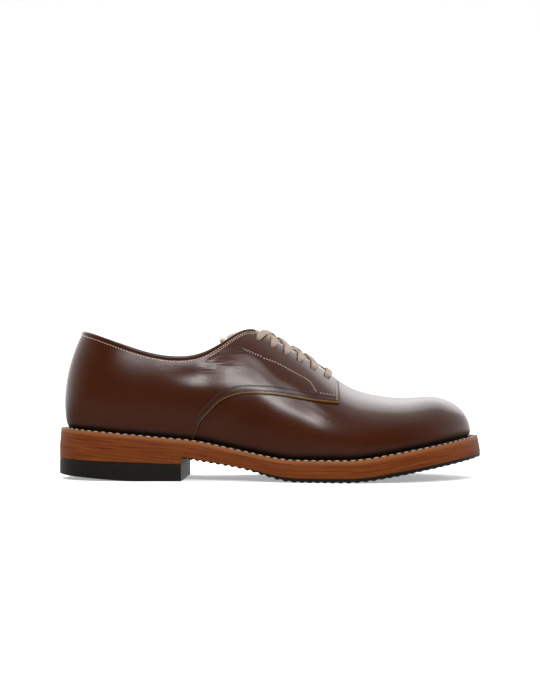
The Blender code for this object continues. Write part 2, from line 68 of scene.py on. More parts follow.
def only(*pieces):
    """Select these objects and nothing else, the last one active."""
    bpy.ops.object.select_all(action="DESELECT")
    for piece in pieces:
        piece.select_set(True)
    bpy.context.view_layer.objects.active = pieces[-1]


def modify(piece, kind, **settings):
    """Add a modifier, set it and apply it."""
    only(piece)
    modifier = piece.modifiers.new(kind.title(), kind)
    for name, value in settings.items():
        setattr(modifier, name, value)
    bpy.ops.object.modifier_apply(modifier=modifier.name)


def in_edit_mode(piece, *steps):
    """Run mesh operators on the whole of one piece."""
    only(piece)
    bpy.ops.object.mode_set(mode="EDIT")
    bpy.ops.mesh.select_all(action="SELECT")
    for step, settings in steps:
        step(**settings)
    bpy.ops.object.mode_set(mode="OBJECT")


def coords(piece):
    """The points of a piece's mesh, in metres."""
    found = np.empty(len(piece.data.vertices) * 3)
    piece.data.vertices.foreach_get("co", found)
    return found.reshape(-1, 3)


def smooth(piece, degrees=40):
    """Shade it smooth, apart from edges sharper than this."""
    only(piece)
    bpy.ops.object.shade_smooth_by_angle(angle=np.radians(degrees))


def dress(piece, *finishes):
    """Give a piece its materials, in the order of its material numbers."""
    for made in finishes:
        piece.data.materials.append(made)


def hand_over(piece, slot, *nodes):
    """Let a finished piece ride on the shoe and stand for the solids that it covers."""
    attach(piece, "root")
    if nodes:
        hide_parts(*nodes)
    print(f"{piece.name}: {len(piece.data.polygons)} faces")


def complete(piece, finishes, slot, *nodes, degrees=40):
    """The last three steps of nearly every piece."""
    smooth(piece, degrees)
    dress(piece, *finishes)
    hand_over(piece, slot, *nodes)


# %% [markdown]
# ## The camera
# The photo is a side view from just above the sole: a 50 mm lens, 68 cm away and about 5 cm over
# the floor, looking level across the shoe. A level camera keeps verticals upright, and a small
# lens shift puts the shoe lower in the frame, which tilting the camera would also do, but with
# leaning edges.

# %% Camera
CAMERA_AT, LENS, LENS_SHIFT = (-0.0006, -0.680, 0.0526), 49.95, 0.1
bpy.ops.object.camera_add(location=CAMERA_AT, rotation=(np.pi / 2, 0, 0))
camera = bpy.context.object
camera.name = "photo_camera"
camera.data.lens = LENS
camera.data.shift_y = LENS_SHIFT
bpy.context.scene.camera = camera
print("camera", [round(v, 4) for v in camera.location])

# %% [markdown]
# ## The last
# The tables hold the shoe's own sizes in millimetres: x from the back of the heel, y from the
# heel's middle line with the outer side negative, z from the floor. The feather line is where the
# upper meets the sole. A section is three curves: up the outer wall, over the instep, and down
# the inner wall.
#
# A point on the last has two numbers. u runs from the back seam (0) to the toe (1), and q runs
# over the foot: 0 at the outer feather line, 1 at the outer collar or facing edge, 2 at the inner
# one, 3 at the inner feather line. A sculpted mesh would give the shape too, but a function also
# says where a stitch lies and which way the leather faces there.

# %% Tables of the last
Slope = namedtuple("Slope", "x rise")
SOLE_SLOPES = [
    Slope(-20, -0.09), Slope(92, -0.09), Slope(108, -0.21), Slope(152, -0.21),
    Slope(172, 0.0), Slope(200, 0.0), Slope(224, 0.178), Slope(330, 0.178),
]
LEVEL_X, SOLE_THICK = 186.0, 14.8  # the welt's height where the sole is level

Feather = namedtuple("Feather", "x y_lat y_med welt")
FEATHER = [
    Feather(8.0, 0.0, 0.0, 6.3),
    Feather(14.0, -16.5, 16.5, 6.4),
    Feather(28.0, -25.2, 25.0, 6.6),
    Feather(55.0, -29.2, 28.2, 6.8),
    Feather(90.0, -29.4, 26.4, 6.6),
    Feather(125.0, -33.0, 25.2, 5.8),
    Feather(160.0, -41.0, 31.8, 5.5),
    Feather(190.0, -47.3, 41.0, 5.5),
    Feather(215.0, -48.8, 46.2, 5.5),
    Feather(240.0, -46.2, 47.2, 5.5),
    Feather(264.0, -37.6, 42.4, 5.4),
    Feather(283.0, -24.6, 32.6, 5.3),
    Feather(293.5, -11.6, 21.2, 5.2),
    Feather(298.2, 4.0, 4.0, 5.1),
]

Section = namedtuple("Section", "x lean y_lat y_med z_lat z_med angle tilt low high")
SECTIONS = [
    Section(8.0, 11.2, 0.0, 0.0, 105.6, 105.6, 27, 14, 0.34, 0.31),
    Section(18.0, 8.0, -16.6, 16.4, 103.0, 103.2, 25, 14, 0.35, 0.33),
    Section(40.0, 3.0, -24.8, 24.2, 96.8, 97.6, 17, 13, 0.36, 0.35),
    Section(65.0, 0.5, -27.2, 26.0, 89.4, 90.6, 13, 12, 0.36, 0.34),
    Section(88.0, 0.0, -27.6, 26.2, 86.0, 87.4, 14, 12, 0.36, 0.34),
    Section(107.0, 0.0, -25.2, 24.6, 89.4, 90.9, 22, 11, 0.36, 0.34),
    Section(123.0, 0.0, -17.8, 18.4, 98.8, 100.5, 40, 10, 0.35, 0.35),
    Section(138.0, 0.0, -7.9, 10.2, 105.6, 107.4, 56, 9, 0.35, 0.34),
    Section(147.0, 0.0, -7.2, 10.6, 102.4, 104.4, 58, 9, 0.37, 0.34),
    Section(165.0, 0.0, -6.6, 11.0, 92.2, 94.1, 60, 10, 0.41, 0.34),
    Section(183.0, 0.0, -6.0, 11.3, 81.6, 83.0, 63, 11, 0.46, 0.35),
    Section(200.0, 0.0, -5.3, 11.4, 70.2, 70.9, 67, 11, 0.48, 0.38),
    Section(211.0, 0.0, -4.7, 11.5, 63.8, 64.4, 70, 11, 0.48, 0.41),
    Section(225.0, 0.0, -4.0, 11.5, 59.6, 60.0, 74, 10, 0.46, 0.44),
    Section(250.0, 0.0, -3.0, 11.0, 57.2, 57.3, 78, 9, 0.44, 0.48),
    Section(270.0, 0.0, -2.0, 9.6, 58.2, 58.1, 79, 8, 0.43, 0.50),
    Section(284.0, 0.0, -0.4, 8.0, 54.6, 54.5, 78, 8, 0.44, 0.50),
    Section(293.5, 0.0, 1.4, 6.2, 47.2, 47.1, 76, 8, 0.44, 0.50),
    Section(298.2, 0.0, 4.0, 4.0, 31.9, 31.9, 70, 8, 0.44, 0.50),
]
GAP = 0.3  # between layers, as in the packed model
CROWN_FULLNESS = 0.36
ORIGIN = np.array([153.059, -0.677, 0.0])  # the frame's origin, in the tables' sizes


def place(points):
    """From the tables' millimetres to the frame's metres."""
    return (np.asarray(points, float) - ORIGIN) * MM


print(len(FEATHER), "points of the feather line,", len(SECTIONS), "sections")

# %% [markdown]
# Natural splines run through the columns of the tables, so that a few sections give one fair
# surface. Stations are spaced by the cosine of u, which crowds them at the heel and at the toe,
# where the plan is round.

# %% Splines through the tables
BACK_X, TIP_X = FEATHER[0].x, FEATHER[-1].x
SOLE_STEPS = 7001


def spline(xs, ys):
    """A natural spline through points, as a function of x."""
    xs, ys = np.asarray(xs, float), np.asarray(ys, float)
    step, n = np.diff(xs), len(xs)
    rows, right = np.eye(n), np.zeros(n)
    for i in range(1, n - 1):
        rows[i, i - 1 : i + 2] = step[i - 1], 2 * (step[i - 1] + step[i]), step[i]
        right[i] = 6 * ((ys[i + 1] - ys[i]) / step[i] - (ys[i] - ys[i - 1]) / step[i - 1])
    bend = np.linalg.solve(rows, right)

    def value(x):
        x = np.asarray(x, float)
        i = np.clip(np.searchsorted(xs, x) - 1, 0, n - 2)
        h, a, b = step[i], xs[i + 1] - x, x - xs[i]
        curve = (bend[i] * a**3 + bend[i + 1] * b**3) / (6 * h)
        from_left = (ys[i] / h - bend[i] * h / 6) * a
        from_right = (ys[i + 1] / h - bend[i + 1] * h / 6) * b
        return curve + from_left + from_right

    return value


def column(table, name):
    return np.array([getattr(row, name) for row in table], float)


def u_at(x):
    """The station u at a length x along the shoe."""
    share = np.clip((np.asarray(x, float) - BACK_X) / (TIP_X - BACK_X), 0, 1)
    return np.arccos(1 - 2 * share) / np.pi


def x_at(u):
    """The length along the shoe at a station u."""
    return BACK_X + (TIP_X - BACK_X) * (1 - np.cos(np.pi * np.asarray(u, float))) / 2


def u_between(first_x, final_x, count):
    """Stations from one length to another, evenly spaced in u."""
    return np.linspace(float(u_at(first_x)), float(u_at(final_x)), count)


def merged(*runs):
    """The stations of several runs in order, without doubles."""
    return np.unique(np.round(np.concatenate(runs), 9))


def by_station(table):
    at = u_at(column(table, "x"))
    return {name: spline(at, column(table, name)) for name in table[0]._fields[1:]}


FEATHER_AT, SECTION_AT = by_station(FEATHER), by_station(SECTIONS)
SOLE_X = np.linspace(SOLE_SLOPES[0].x, SOLE_SLOPES[-1].x, SOLE_STEPS)
SOLE_RISE = np.interp(SOLE_X, column(SOLE_SLOPES, "x"), column(SOLE_SLOPES, "rise"))
mean_rise = (SOLE_RISE[1:] + SOLE_RISE[:-1]) / 2
SOLE_Z = np.concatenate([[0], np.cumsum(mean_rise * np.diff(SOLE_X))])
SOLE_Z += SOLE_THICK - np.interp(LEVEL_X, SOLE_X, SOLE_Z)


def welt_z(x):
    """Height of the welt's top face."""
    return np.interp(x, SOLE_X, SOLE_Z)


def welt_rise(x):
    """Slope of the welt's top face."""
    return np.interp(x, SOLE_X, SOLE_RISE)


print("welt height at heel and toe, mm:", welt_z([BACK_X, TIP_X]).round(1))

# %% [markdown]
# Now the last itself. feather_line gives points on the welt's top face, any distance out from the
# feather line, and last gives points of the upper. wrap moves those points out along the
# leather's own normal, which is how a quarter comes to lie on top of the vamp and the tongue
# under it.

# %% The last as a function
SIDES = ("lat", "med")
TUCK_IN, TUCK_HIGH = 1.3, 6.0  # how far the leather tucks in, and up to which height
ROUND_HEEL_X, ROUND_HEEL_RUN = 60.0, 50.0  # where the walls stop leaning square to the outline
TIP_NORMAL = np.array([0.96, 0.0, 0.28])
WALL_STEPS = 161


def unit(vectors):
    return vectors / np.maximum(np.linalg.norm(vectors, axis=-1, keepdims=True), 1e-12)


def run_along(line):
    """The distance run along lines of points, from the first point of each."""
    steps = np.linalg.norm(np.diff(line, axis=-2), axis=-1)
    start = np.zeros((*steps.shape[:-1], 1))
    return np.concatenate([start, np.cumsum(steps, axis=-1)], axis=-1)


def feather_line(u, side, out=0.0):
    """Points on the welt's top face out from the feather line, and the direction outwards."""
    step = 1e-4
    low, high = np.clip(u - step, 0, 1), np.clip(u + step, 0, 1)
    y_of = FEATHER_AT["y_" + side]
    along = unit(np.stack([x_at(high) - x_at(low), y_of(high) - y_of(low)], 1))
    normal = (1 if side == "lat" else -1) * np.stack([along[:, 1], -along[:, 0]], 1)
    normal[u < 1e-6], normal[u > 1 - 1e-6] = (-1, 0), (1, 0)
    flat = np.stack([x_at(u), y_of(u)], 1) + normal * np.reshape(out, (-1, 1))
    return np.column_stack([flat, welt_z(flat[:, 0])]), normal


def section_curves(u):
    """Control points of the three curves of each section: stations x 3 x 4 x 3."""
    row = {name: value(u) for name, value in SECTION_AT.items()}
    angle, tilt, x = np.radians(row["angle"]), np.radians(row["tilt"]), x_at(u)
    across = np.clip((x - ROUND_HEEL_X) / ROUND_HEEL_RUN, 0, 1)[:, None]
    walls, tops = [], []
    for side, turn in zip(SIDES, (1.0, -1.0)):
        foot, normal = feather_line(u, side)
        foot = foot + [0, 0, GAP]
        top = np.stack([x + row["lean"], row["y_" + side], row["z_" + side]], 1)
        chord = np.linalg.norm(top - foot, axis=1)
        inward = unit(-normal * (1 - across) + np.array([0, turn]) * across)
        rise = np.column_stack([inward * np.sin(angle)[:, None], np.cos(angle)])
        flare = np.column_stack([normal * np.sin(tilt)[:, None], np.cos(tilt)])
        lower = foot + (row["low"] * chord)[:, None] * flare
        upper = top - (row["high"] * chord)[:, None] * rise
        walls.append(np.stack([foot, lower, upper, top], 1))
        tops.append((top, rise))
    (top_l, rise_l), (top_m, rise_m) = tops
    reach = CROWN_FULLNESS * np.linalg.norm(top_m - top_l, axis=1, keepdims=True)
    crown = np.stack([top_l, top_l + reach * rise_l, top_m + reach * rise_m, top_m], 1)
    return np.stack([walls[0], crown, walls[1][:, ::-1]], 1)


def last(u, q):
    """Points of the upper's surface: one row of q for each station u."""
    q = np.clip(q, 0, 3)
    part = np.clip(q.astype(int), 0, 2)
    t = (q - part)[..., None]
    control = section_curves(u)[np.arange(len(u))[:, None], part]
    weights = (1 - t) ** 3, 3 * (1 - t) ** 2 * t, 3 * (1 - t) * t**2, t**3
    return sum(weight * control[..., k, :] for k, weight in enumerate(weights))


def soft_step(value, full, none):
    """1 at full and beyond, 0 at none, smooth between."""
    t = np.clip((value - none) / (full - none), 0, 1)
    return t * t * (3 - 2 * t)


def over_welt(points):
    """Height over the welt's top face."""
    return points[..., 2] - welt_z(points[..., 0])


def wrap(u, q, out=0.0):
    """Points off the surface by out, along its normal, and that normal. Just over the welt
    the leather tucks in."""
    step = 2e-4
    along = last(np.minimum(u + step, 1), q) - last(np.maximum(u - step, 0), q)
    over = last(u, q + step) - last(u, q - step)
    normal = unit(np.cross(along, over))
    normal[u > 0.9999] = unit(TIP_NORMAL)
    points = last(u, q)
    tuck = TUCK_IN * np.clip(1 - over_welt(points) / TUCK_HIGH, 0, 1) ** 2
    return points + (np.asarray(out) - tuck)[..., None] * normal, normal


def wall_run(u, side):
    """q down one wall from its top edge, the distance run along the leather, and the height."""
    edge, foot = (1, 0) if side == "lat" else (2, 3)
    q = np.linspace(edge, foot, WALL_STEPS)
    line = last(u, np.tile(q, (len(u), 1)))
    return q, run_along(line), line[..., 2]


def q_below(u, side, below):
    """q at distances below the top edge, one row of distances for each station."""
    q, run, _ = wall_run(u, side)
    return np.array([np.interp(b, r, q) for b, r in zip(below, run)])


ridge = last(u_at(np.array([250.0])), np.array([[1.5]]))[0, 0]
print("toe ridge height, mm:", ridge[2].round(1))

# %% [markdown]
# ## From a flat grid to a piece
# Two helpers make nearly every piece. sheet adds a grid primitive and moves its points to places
# that a table or the last gives, as leather is cut flat and then shaped. loft does the same with
# closed sections, one behind the other, then merges the seam and fills the open ends: sole
# layers, laces and the collar's binding are made that way. Both can store numbers on the points,
# such as the distance from an edge in millimetres, which the materials read later.

# %% Sheets and lofts
MERGE_WITHIN = 1e-6
SHARP = 50  # degrees: edges sharper than this are rounded


def sheet(name, points, marks=None):
    """A grid primitive with its points moved to places, in the tables' sizes: stations x rows x 3."""
    n, m = points.shape[:2]
    bpy.ops.mesh.primitive_grid_add(x_subdivisions=n - 1, y_subdivisions=m - 1, size=1)
    piece = bpy.context.object
    piece.name = piece.data.name = name
    flat = coords(piece)
    i = np.rint((flat[:, 0] + 0.5) * (n - 1)).astype(int)
    j = np.rint((flat[:, 1] + 0.5) * (m - 1)).astype(int)
    for mark, values in (marks or {}).items():
        stored = piece.data.attributes.new(mark, "FLOAT", "POINT")
        spread = np.broadcast_to(values, (n, m))[i, j]
        stored.data.foreach_set("value", spread.astype(np.float32))
    piece.data.vertices.foreach_set("co", place(points[i, j]).ravel())
    return piece


def closed(rows):
    """Rows with the first point of each again at its end."""
    return np.concatenate([rows, rows[:, :1]], 1)


def loft(name, sections, marks=None):
    """Closed sections joined into one body: stations x points of a section x 3."""
    shape = sections.shape[:2]
    spread = {k: closed(np.broadcast_to(v, shape)) for k, v in (marks or {}).items()}
    piece = sheet(name, closed(sections), spread)
    in_edit_mode(
        piece,
        (bpy.ops.mesh.remove_doubles, {"threshold": MERGE_WITHIN}),
        (bpy.ops.mesh.fill_holes, {"sides": 0}),
        (bpy.ops.mesh.normals_make_consistent, {"inside": False}),
    )
    return piece


def thicken(piece, thick, rounding, segments=2, rim=1):
    """Give a sheet its thickness inwards and round its edges. rim is the edge's material number."""
    modify(
        piece, "SOLIDIFY",
        thickness=thick * MM, offset=-1, material_offset=1, material_offset_rim=rim,
    )
    modify(
        piece, "BEVEL",
        width=rounding * MM, segments=segments,
        limit_method="ANGLE", angle_limit=np.radians(SHARP),
    )


def delete_faces(piece, chosen):
    """Delete the faces whose number is true in chosen."""
    only(piece)
    bpy.context.tool_settings.mesh_select_mode = (False, False, True)
    piece.data.vertices.foreach_set("select", np.zeros(len(piece.data.vertices), bool))
    piece.data.edges.foreach_set("select", np.zeros(len(piece.data.edges), bool))
    piece.data.polygons.foreach_set("select", chosen)
    bpy.ops.object.mode_set(mode="EDIT")
    bpy.ops.mesh.delete(type="FACE")
    bpy.ops.object.mode_set(mode="OBJECT")
    bpy.context.tool_settings.mesh_select_mode = (True, False, False)


def centres(piece):
    """The middle of each face, in metres."""
    found = np.empty(len(piece.data.polygons) * 3)
    piece.data.polygons.foreach_get("center", found)
    return found.reshape(-1, 3)


def face_mean(piece, mark):
    """The mean of a stored number over each face of a grid."""
    corners = np.empty(len(piece.data.loops), int)
    piece.data.loops.foreach_get("vertex_index", corners)
    values = np.empty(len(piece.data.vertices), np.float32)
    piece.data.attributes[mark].data.foreach_get("value", values)
    return values[corners].reshape(-1, 4).mean(1)


print("points merge within", MERGE_WITHIN, "m")

# %% [markdown]
# ## Finishes
# Shader sums are easier to read as sums. The class below wraps one output of a node and lets
# Python's operators add the Math nodes, so 1 - mask is a Subtract node. Every other node comes
# from one method, node, which sets the node's own settings first and then its sockets. What is
# the same all over a surface is set on the shader itself, and only what varies comes through
# nodes.

# %% A socket that can do sums

class Wire:
    """One output of a node tree. Without an output it only adds nodes."""

    def __init__(self, tree, output=None):
        self.tree, self.output = tree, output

    def node(self, kind, settings=None, inputs=None, take=0):
        made = self.tree.nodes.new("ShaderNode" + kind)
        for name, value in (settings or {}).items():
            if name == "stops":
                ramp = made.color_ramp.elements
                while len(ramp) < len(value):
                    ramp.new(0.5)
                for element, (position, colour) in zip(ramp, value):
                    element.position, element.color = position, (*colour, 1)
            else:
                setattr(made, name, value)
        for name, value in (inputs or {}).items():
            if isinstance(value, Wire):
                self.tree.links.new(value.output, made.inputs[name])
            else:
                made.inputs[name].default_value = value
        return Wire(self.tree, made.outputs[take])

    def also(self, take):
        """Another output of the same node."""
        return Wire(self.tree, self.output.node.outputs[take])

    def math(self, operation, *values):
        return self.node("Math", {"operation": operation}, dict(enumerate(values)))

    def __add__(self, other):
        return self.math("ADD", self, other)

    def __sub__(self, other):
        return self.math("SUBTRACT", self, other)

    def __rsub__(self, other):
        return self.math("SUBTRACT", other, self)

    def __mul__(self, other):
        return self.math("MULTIPLY", self, other)

    __radd__, __rmul__ = __add__, __mul__


def finish(name, **constants):
    """A new material: its wire for adding nodes, its shader, and the material."""
    made = bpy.data.materials.new(name)
    made.use_nodes = True
    shader = made.node_tree.nodes["Principled BSDF"]
    for socket, value in constants.items():
        shader.inputs[socket.replace("_", " ")].default_value = value
    return Wire(made.node_tree), shader, made


def feed(wire, shader, **sockets):
    """Link values to the shader's sockets."""
    for socket, value in sockets.items():
        wire.tree.links.new(value.output, shader.inputs[socket.replace("_", " ")])


def mix(factor, low, high):
    """A colour between two colours or colour outputs."""
    low, high = (c if isinstance(c, Wire) else (*c, 1) for c in (low, high))
    return factor.node("Mix", {"data_type": "RGBA"}, {0: factor, 6: low, 7: high}, take=2)


def noise(wire, where, scale, detail=3.0, roughness=0.55, stretch=(1, 1, 1)):
    if stretch != (1, 1, 1):
        where = wire.node("Mapping", {}, {"Vector": where, "Scale": stretch})
    sockets = {"Vector": where, "Scale": scale, "Detail": detail, "Roughness": roughness}
    return wire.node("TexNoise", {}, sockets)


def mark(wire, name):
    """A number that is stored on the piece's points."""
    return wire.node("Attribute", {"attribute_name": name}, take="Fac")


def bump(wire, height, strength, distance):
    sockets = {"Height": height, "Strength": strength, "Distance": distance}
    return wire.node("Bump", {}, sockets)


print("a wire can:", [name for name in vars(Wire) if not name.startswith("__")])

# %% [markdown]
# The leather is smooth calf, dyed brown and polished. Its colour shifts a little in large soft
# clouds, its pores are half a millimetre wide and very shallow, and a wax coat gives the clear
# reflections. Three numbers stored on the panels tint it: ochre where a cut edge shows the undyed
# core; a pale band along the facing's edge, partly the edge's own pale colour and partly a painted
# highlight of that rounded edge; and a near black painted shade in the groove under the collar,
# along the front edge and at the foot over the welt. A fourth says where the leather is creased
# by walking, in short level lines.

# %% Brown leather
BROWN_DARK, BROWN_LIGHT = (0.024, 0.0050, 0.0015), (0.040, 0.0100, 0.0034)
OCHRE, RUSSET = (0.165, 0.082, 0.013), (0.085, 0.030, 0.012)
# colours of the pale band, partly a painted highlight, and of the near black painted shade
PALE_EDGE_AND_HIGHLIGHT, PAINTED_SHADE = (0.360, 0.240, 0.175), (0.005, 0.0022, 0.0012)
PORES_PER_M, FIBRES_PER_M = 1500.0, 700.0

wire, shader, brown_leather = finish("brown_leather", Specular_IOR_Level=0.18)
here = wire.node("TexCoord", take="Object")
clouds = noise(wire, here, 24.0, 3.0, 0.5)
pores = wire.node(
    "TexVoronoi", {"feature": "SMOOTH_F1"},
    {"Vector": here, "Scale": PORES_PER_M, "Smoothness": 0.6}, take="Distance",
)
fibres = noise(wire, here, FIBRES_PER_M, 4.0, 0.6)
creases = noise(wire, here, 1.0, 2.0, 0.5, stretch=(95, 95, 560))
leather_colour = mix(clouds, BROWN_DARK, BROWN_LIGHT)
# painted shade: near black in the collar groove, along the front edge and at the foot over the welt
leather_colour = mix(mark(wire, "groove"), leather_colour, PAINTED_SHADE)
edge_colour = mix(noise(wire, here, 160.0, 2.0), RUSSET, OCHRE)
leather_colour = mix(mark(wire, "ochre"), leather_colour, edge_colour)
# the pale band along the facing: partly the edge's own colour, partly a painted highlight
leather_colour = mix(mark(wire, "beige"), leather_colour, PALE_EDGE_AND_HIGHLIGHT)
polish = 0.155 + clouds * 0.06 + fibres * 0.05
worn = polish + mark(wire, "ochre") * 0.35 + mark(wire, "groove") * 0.3
grain = pores * 0.6 + fibres + creases * mark(wire, "crease") * 9.0
feed(wire, shader, Base_Color=leather_colour, Roughness=worn, Normal=bump(wire, grain, 0.16, 0.0002))
print("brown leather:", len(wire.tree.nodes), "nodes")

# %% [markdown]
# Inside, the shoe is lined with undyed leather, which also shows at the tongue's end and
# underneath it. The cut edge of a panel shows the core of the hide, ochre and matt.

# %% Lining and cut edges
LINING_DARK, LINING_LIGHT = (0.52, 0.41, 0.33), (0.64, 0.53, 0.44)

wire, shader, lining_leather = finish("lining_leather")
here = wire.node("TexCoord", take="Object")
nap = noise(wire, here, 900.0, 5.0, 0.65)
feed(
    wire, shader,
    Base_Color=mix(noise(wire, here, 30.0), LINING_DARK, LINING_LIGHT),
    Roughness=0.55 + nap * 0.25,
    Normal=bump(wire, nap, 0.25, 0.0003),
)
wire, shader, cut_edge = finish("cut_edge")
hide = noise(wire, wire.node("TexCoord", take="Object"), 1600.0, 4.0, 0.7)
feed(
    wire, shader,
    Base_Color=mix(hide, RUSSET, OCHRE),
    Roughness=0.6 + hide * 0.2,
    Normal=bump(wire, hide, 0.3, 0.0003),
)
print("lining and cut edge ready")

# %% [markdown]
# The sole's edge is veg-tanned leather, stained tan, sanded and waxed. Sanding leaves streaks
# along the layers, so its noise is stretched: long along the shoe and short in depth. The depth
# under the welt's top face is stored on the points, so the streaks climb with the toe as the
# layers do.

# %% Tan sole leather
TAN_DARK, TAN_MID, TAN_LIGHT = (0.058, 0.0106, 0.0012), (0.104, 0.0222, 0.0024), (0.146, 0.038, 0.0058)
# the pale rim's colour is partly a painted highlight; the near black one darkens the welt's top towards
# the upper
CRACK, PALE_RIM_AND_HIGHLIGHT, NEAR_BLACK_TOP = (0.050, 0.013, 0.005), (0.230, 0.085, 0.028), (0.0085, 0.0032, 0.0014)

wire, shader, tan_leather = finish("tan_sole_leather", Specular_IOR_Level=0.09)
along = wire.node("SeparateXYZ", {}, {"Vector": wire.node("TexCoord", take="Object")})
layers = {"X": along, "Y": along.also("Y"), "Z": mark(wire, "depth") * MM}
layered = wire.node("CombineXYZ", {}, layers)
streaks = noise(wire, layered, 1.0, 4.0, 0.6, stretch=(28, 28, 900))
long_lines = noise(wire, layered, 1.0, 2.0, 0.5, stretch=(11, 11, 420))
thin = {"Value": long_lines, "From Min": 0.36, "From Max": 0.30}
cracks = wire.node("MapRange", {}, thin)
stops = [(0.30, TAN_DARK), (0.48, TAN_MID), (0.70, TAN_LIGHT)]
colour = wire.node("ValToRGB", {"stops": stops}, {"Fac": streaks})
colour = mix(cracks * 0.75, colour, CRACK)
# paler rounded top corner of the welt: partly sanded leather, partly a painted highlight
colour = mix(mark(wire, "rim") * 0.7, colour, PALE_RIM_AND_HIGHLIGHT)
# near black over the welt's top, towards the upper
colour = mix(mark(wire, "stain"), colour, NEAR_BLACK_TOP)
feed(
    wire, shader,
    Base_Color=colour,
    Roughness=0.42 + streaks * 0.22,
    Normal=bump(wire, streaks - cracks * 0.6, 0.25, 0.0004),
)
print("tan sole leather:", len(wire.tree.nodes), "nodes")

# %% [markdown]
# The tread is black rubber, matt and a little dusty. Thread and lace are spun, so their bump is a
# fine twist or weave.

# %% Rubber, thread and lace finishes
RUBBER_DARK, RUBBER_DUSTY = (0.0045, 0.0041, 0.0027), (0.0105, 0.0095, 0.0068)
TAUPE_DARK, TAUPE_LIGHT = (0.150, 0.096, 0.068), (0.350, 0.262, 0.203)

wire, shader, black_rubber = finish("black_rubber", Specular_IOR_Level=0.1)
here = wire.node("TexCoord", take="Object")
dust = noise(wire, here, 260.0, 5.0, 0.65)
feed(
    wire, shader,
    Base_Color=mix(dust, RUBBER_DARK, RUBBER_DUSTY),
    Roughness=0.40 + dust * 0.18,
    Normal=bump(wire, noise(wire, here, 1800.0, 3.0), 0.2, 0.0002),
)


def thread_finish(name, dark, light):
    wire, shader, made = finish(name)
    spun = noise(wire, wire.node("TexCoord", take="Object"), 2600.0, 3.0, 0.6)
    feed(
        wire, shader,
        Base_Color=mix(spun, dark, light),
        Roughness=0.6 + spun * 0.2,
        Normal=bump(wire, spun, 0.4, 0.0002),
    )
    return made


cream_thread = thread_finish("cream_thread", (0.30, 0.21, 0.15), (0.56, 0.45, 0.36))
pale_thread = thread_finish("pale_thread", (0.36, 0.22, 0.16), (0.62, 0.45, 0.36))
dark_thread = thread_finish("dark_thread", (0.010, 0.004, 0.004), (0.034, 0.012, 0.011))

wire, shader, taupe_lace = finish("taupe_lace", Sheen_Weight=0.2, Sheen_Roughness=0.5)
run, side_to_side = mark(wire, "along"), mark(wire, "across")
slant = side_to_side.math("ABSOLUTE", side_to_side) * 0.8
rib = wire.math("SINE", (run + slant) * 7.0)
cross_rib = wire.math("SINE", side_to_side * 9.0)
weave = rib * 0.5 + cross_rib * 0.3
fuzz = noise(wire, wire.node("TexCoord", take="Object"), 1200.0, 4.0, 0.6)
feed(
    wire, shader,
    Base_Color=mix(fuzz + weave * 0.25, TAUPE_DARK, TAUPE_LIGHT),
    Roughness=0.72 + fuzz * 0.2,
    Normal=bump(wire, weave + fuzz * 0.6, 0.5, 0.0003),
)
print("rubber, three threads and the lace ready")

# %% [markdown]
# ## The upper
# The vamp and the lining are one shell here, 1.8 mm thick. It starts as a grid over the whole
# foot. The faces over the instep behind the vamp's rear edge are deleted, which opens collar and
# throat, and so is the middle of each eyelet. A Solidify modifier then gives the leather its
# thickness inwards, with the lining as the material of the inner side. A boolean could cut the
# eyelets, but it leaves long thin faces that show in polished leather, so the grid's own points
# are pulled onto the hole's rim.

# %% Eyelet places and the punch
UPPER_WALL, QUARTER_THICK = 1.8, 1.4
QUARTER_OUT = GAP + QUARTER_THICK
VAMP_REAR_X = 189.6
EYELET_X = [192.0 - 9.6 * k for k in range(6)]
EYELET_DOWN, EYELET_RADIUS = 9.5, 1.75
NEAR_EYELET = 3.0  # a piece with no face this near has no such eyelet
RIM_REACH = 1.32  # points within this many radii go to the rim


def eyelets(side, out):
    """The middles of one side's eyelets, off the last by out, and the normals there."""
    u, shape = u_at(np.array(EYELET_X)), (len(EYELET_X), 1)
    q = q_below(u, side, np.full(shape, EYELET_DOWN))
    points, normals = wrap(u, q, np.full(shape, out))
    return points[:, 0], normals[:, 0]


def punch(piece, out):
    """Delete the faces inside each eyelet and pull the points round it onto its rim."""
    radius = EYELET_RADIUS * MM
    for side in SIDES:
        for middle, normal in zip(*eyelets(side, out)):
            middle = place(middle)
            gap = np.linalg.norm(centres(piece) - middle, axis=1)
            if gap.min() > NEAR_EYELET * MM:
                continue
            delete_faces(piece, gap < radius)
            points = coords(piece)
            apart = points - middle
            near = np.linalg.norm(apart, axis=1) < radius * RIM_REACH
            apart -= (apart @ normal)[:, None] * normal
            short = radius - np.linalg.norm(apart[near], axis=1)
            points[near] += unit(apart[near]) * short[:, None]
            piece.data.vertices.foreach_set("co", points.ravel())


print("eyelets at x, mm:", np.round(EYELET_X, 1))

# %% [markdown]
# The shell itself. Its foot is painted dark where it meets the welt: a painted shade, as the welt
# shades it. The grid keeps its own even rows, so that highlights run clean over the toe.

# %% Upper
PLAIN = {"groove": 0.0, "ochre": 0.0, "beige": 0.0, "crease": 0.0}
UPPER_STATIONS, WALL_ROWS, INSTEP_ROWS = 216, 52, 22
SHADED_FOOT_HEIGHT = 1.2  # the painted shade at the leather's foot is full up to this height over the welt

stations = merged(np.linspace(0, 1, UPPER_STATIONS), u_at([VAMP_REAR_X]))
instep = np.linspace(1, 2, INSTEP_ROWS)[1:-1]
rows = np.concatenate([np.linspace(0, 1, WALL_ROWS), instep, np.linspace(2, 3, WALL_ROWS)])
q = np.tile(rows, (len(stations), 1))
points = wrap(stations, q, np.zeros(q.shape))[0]
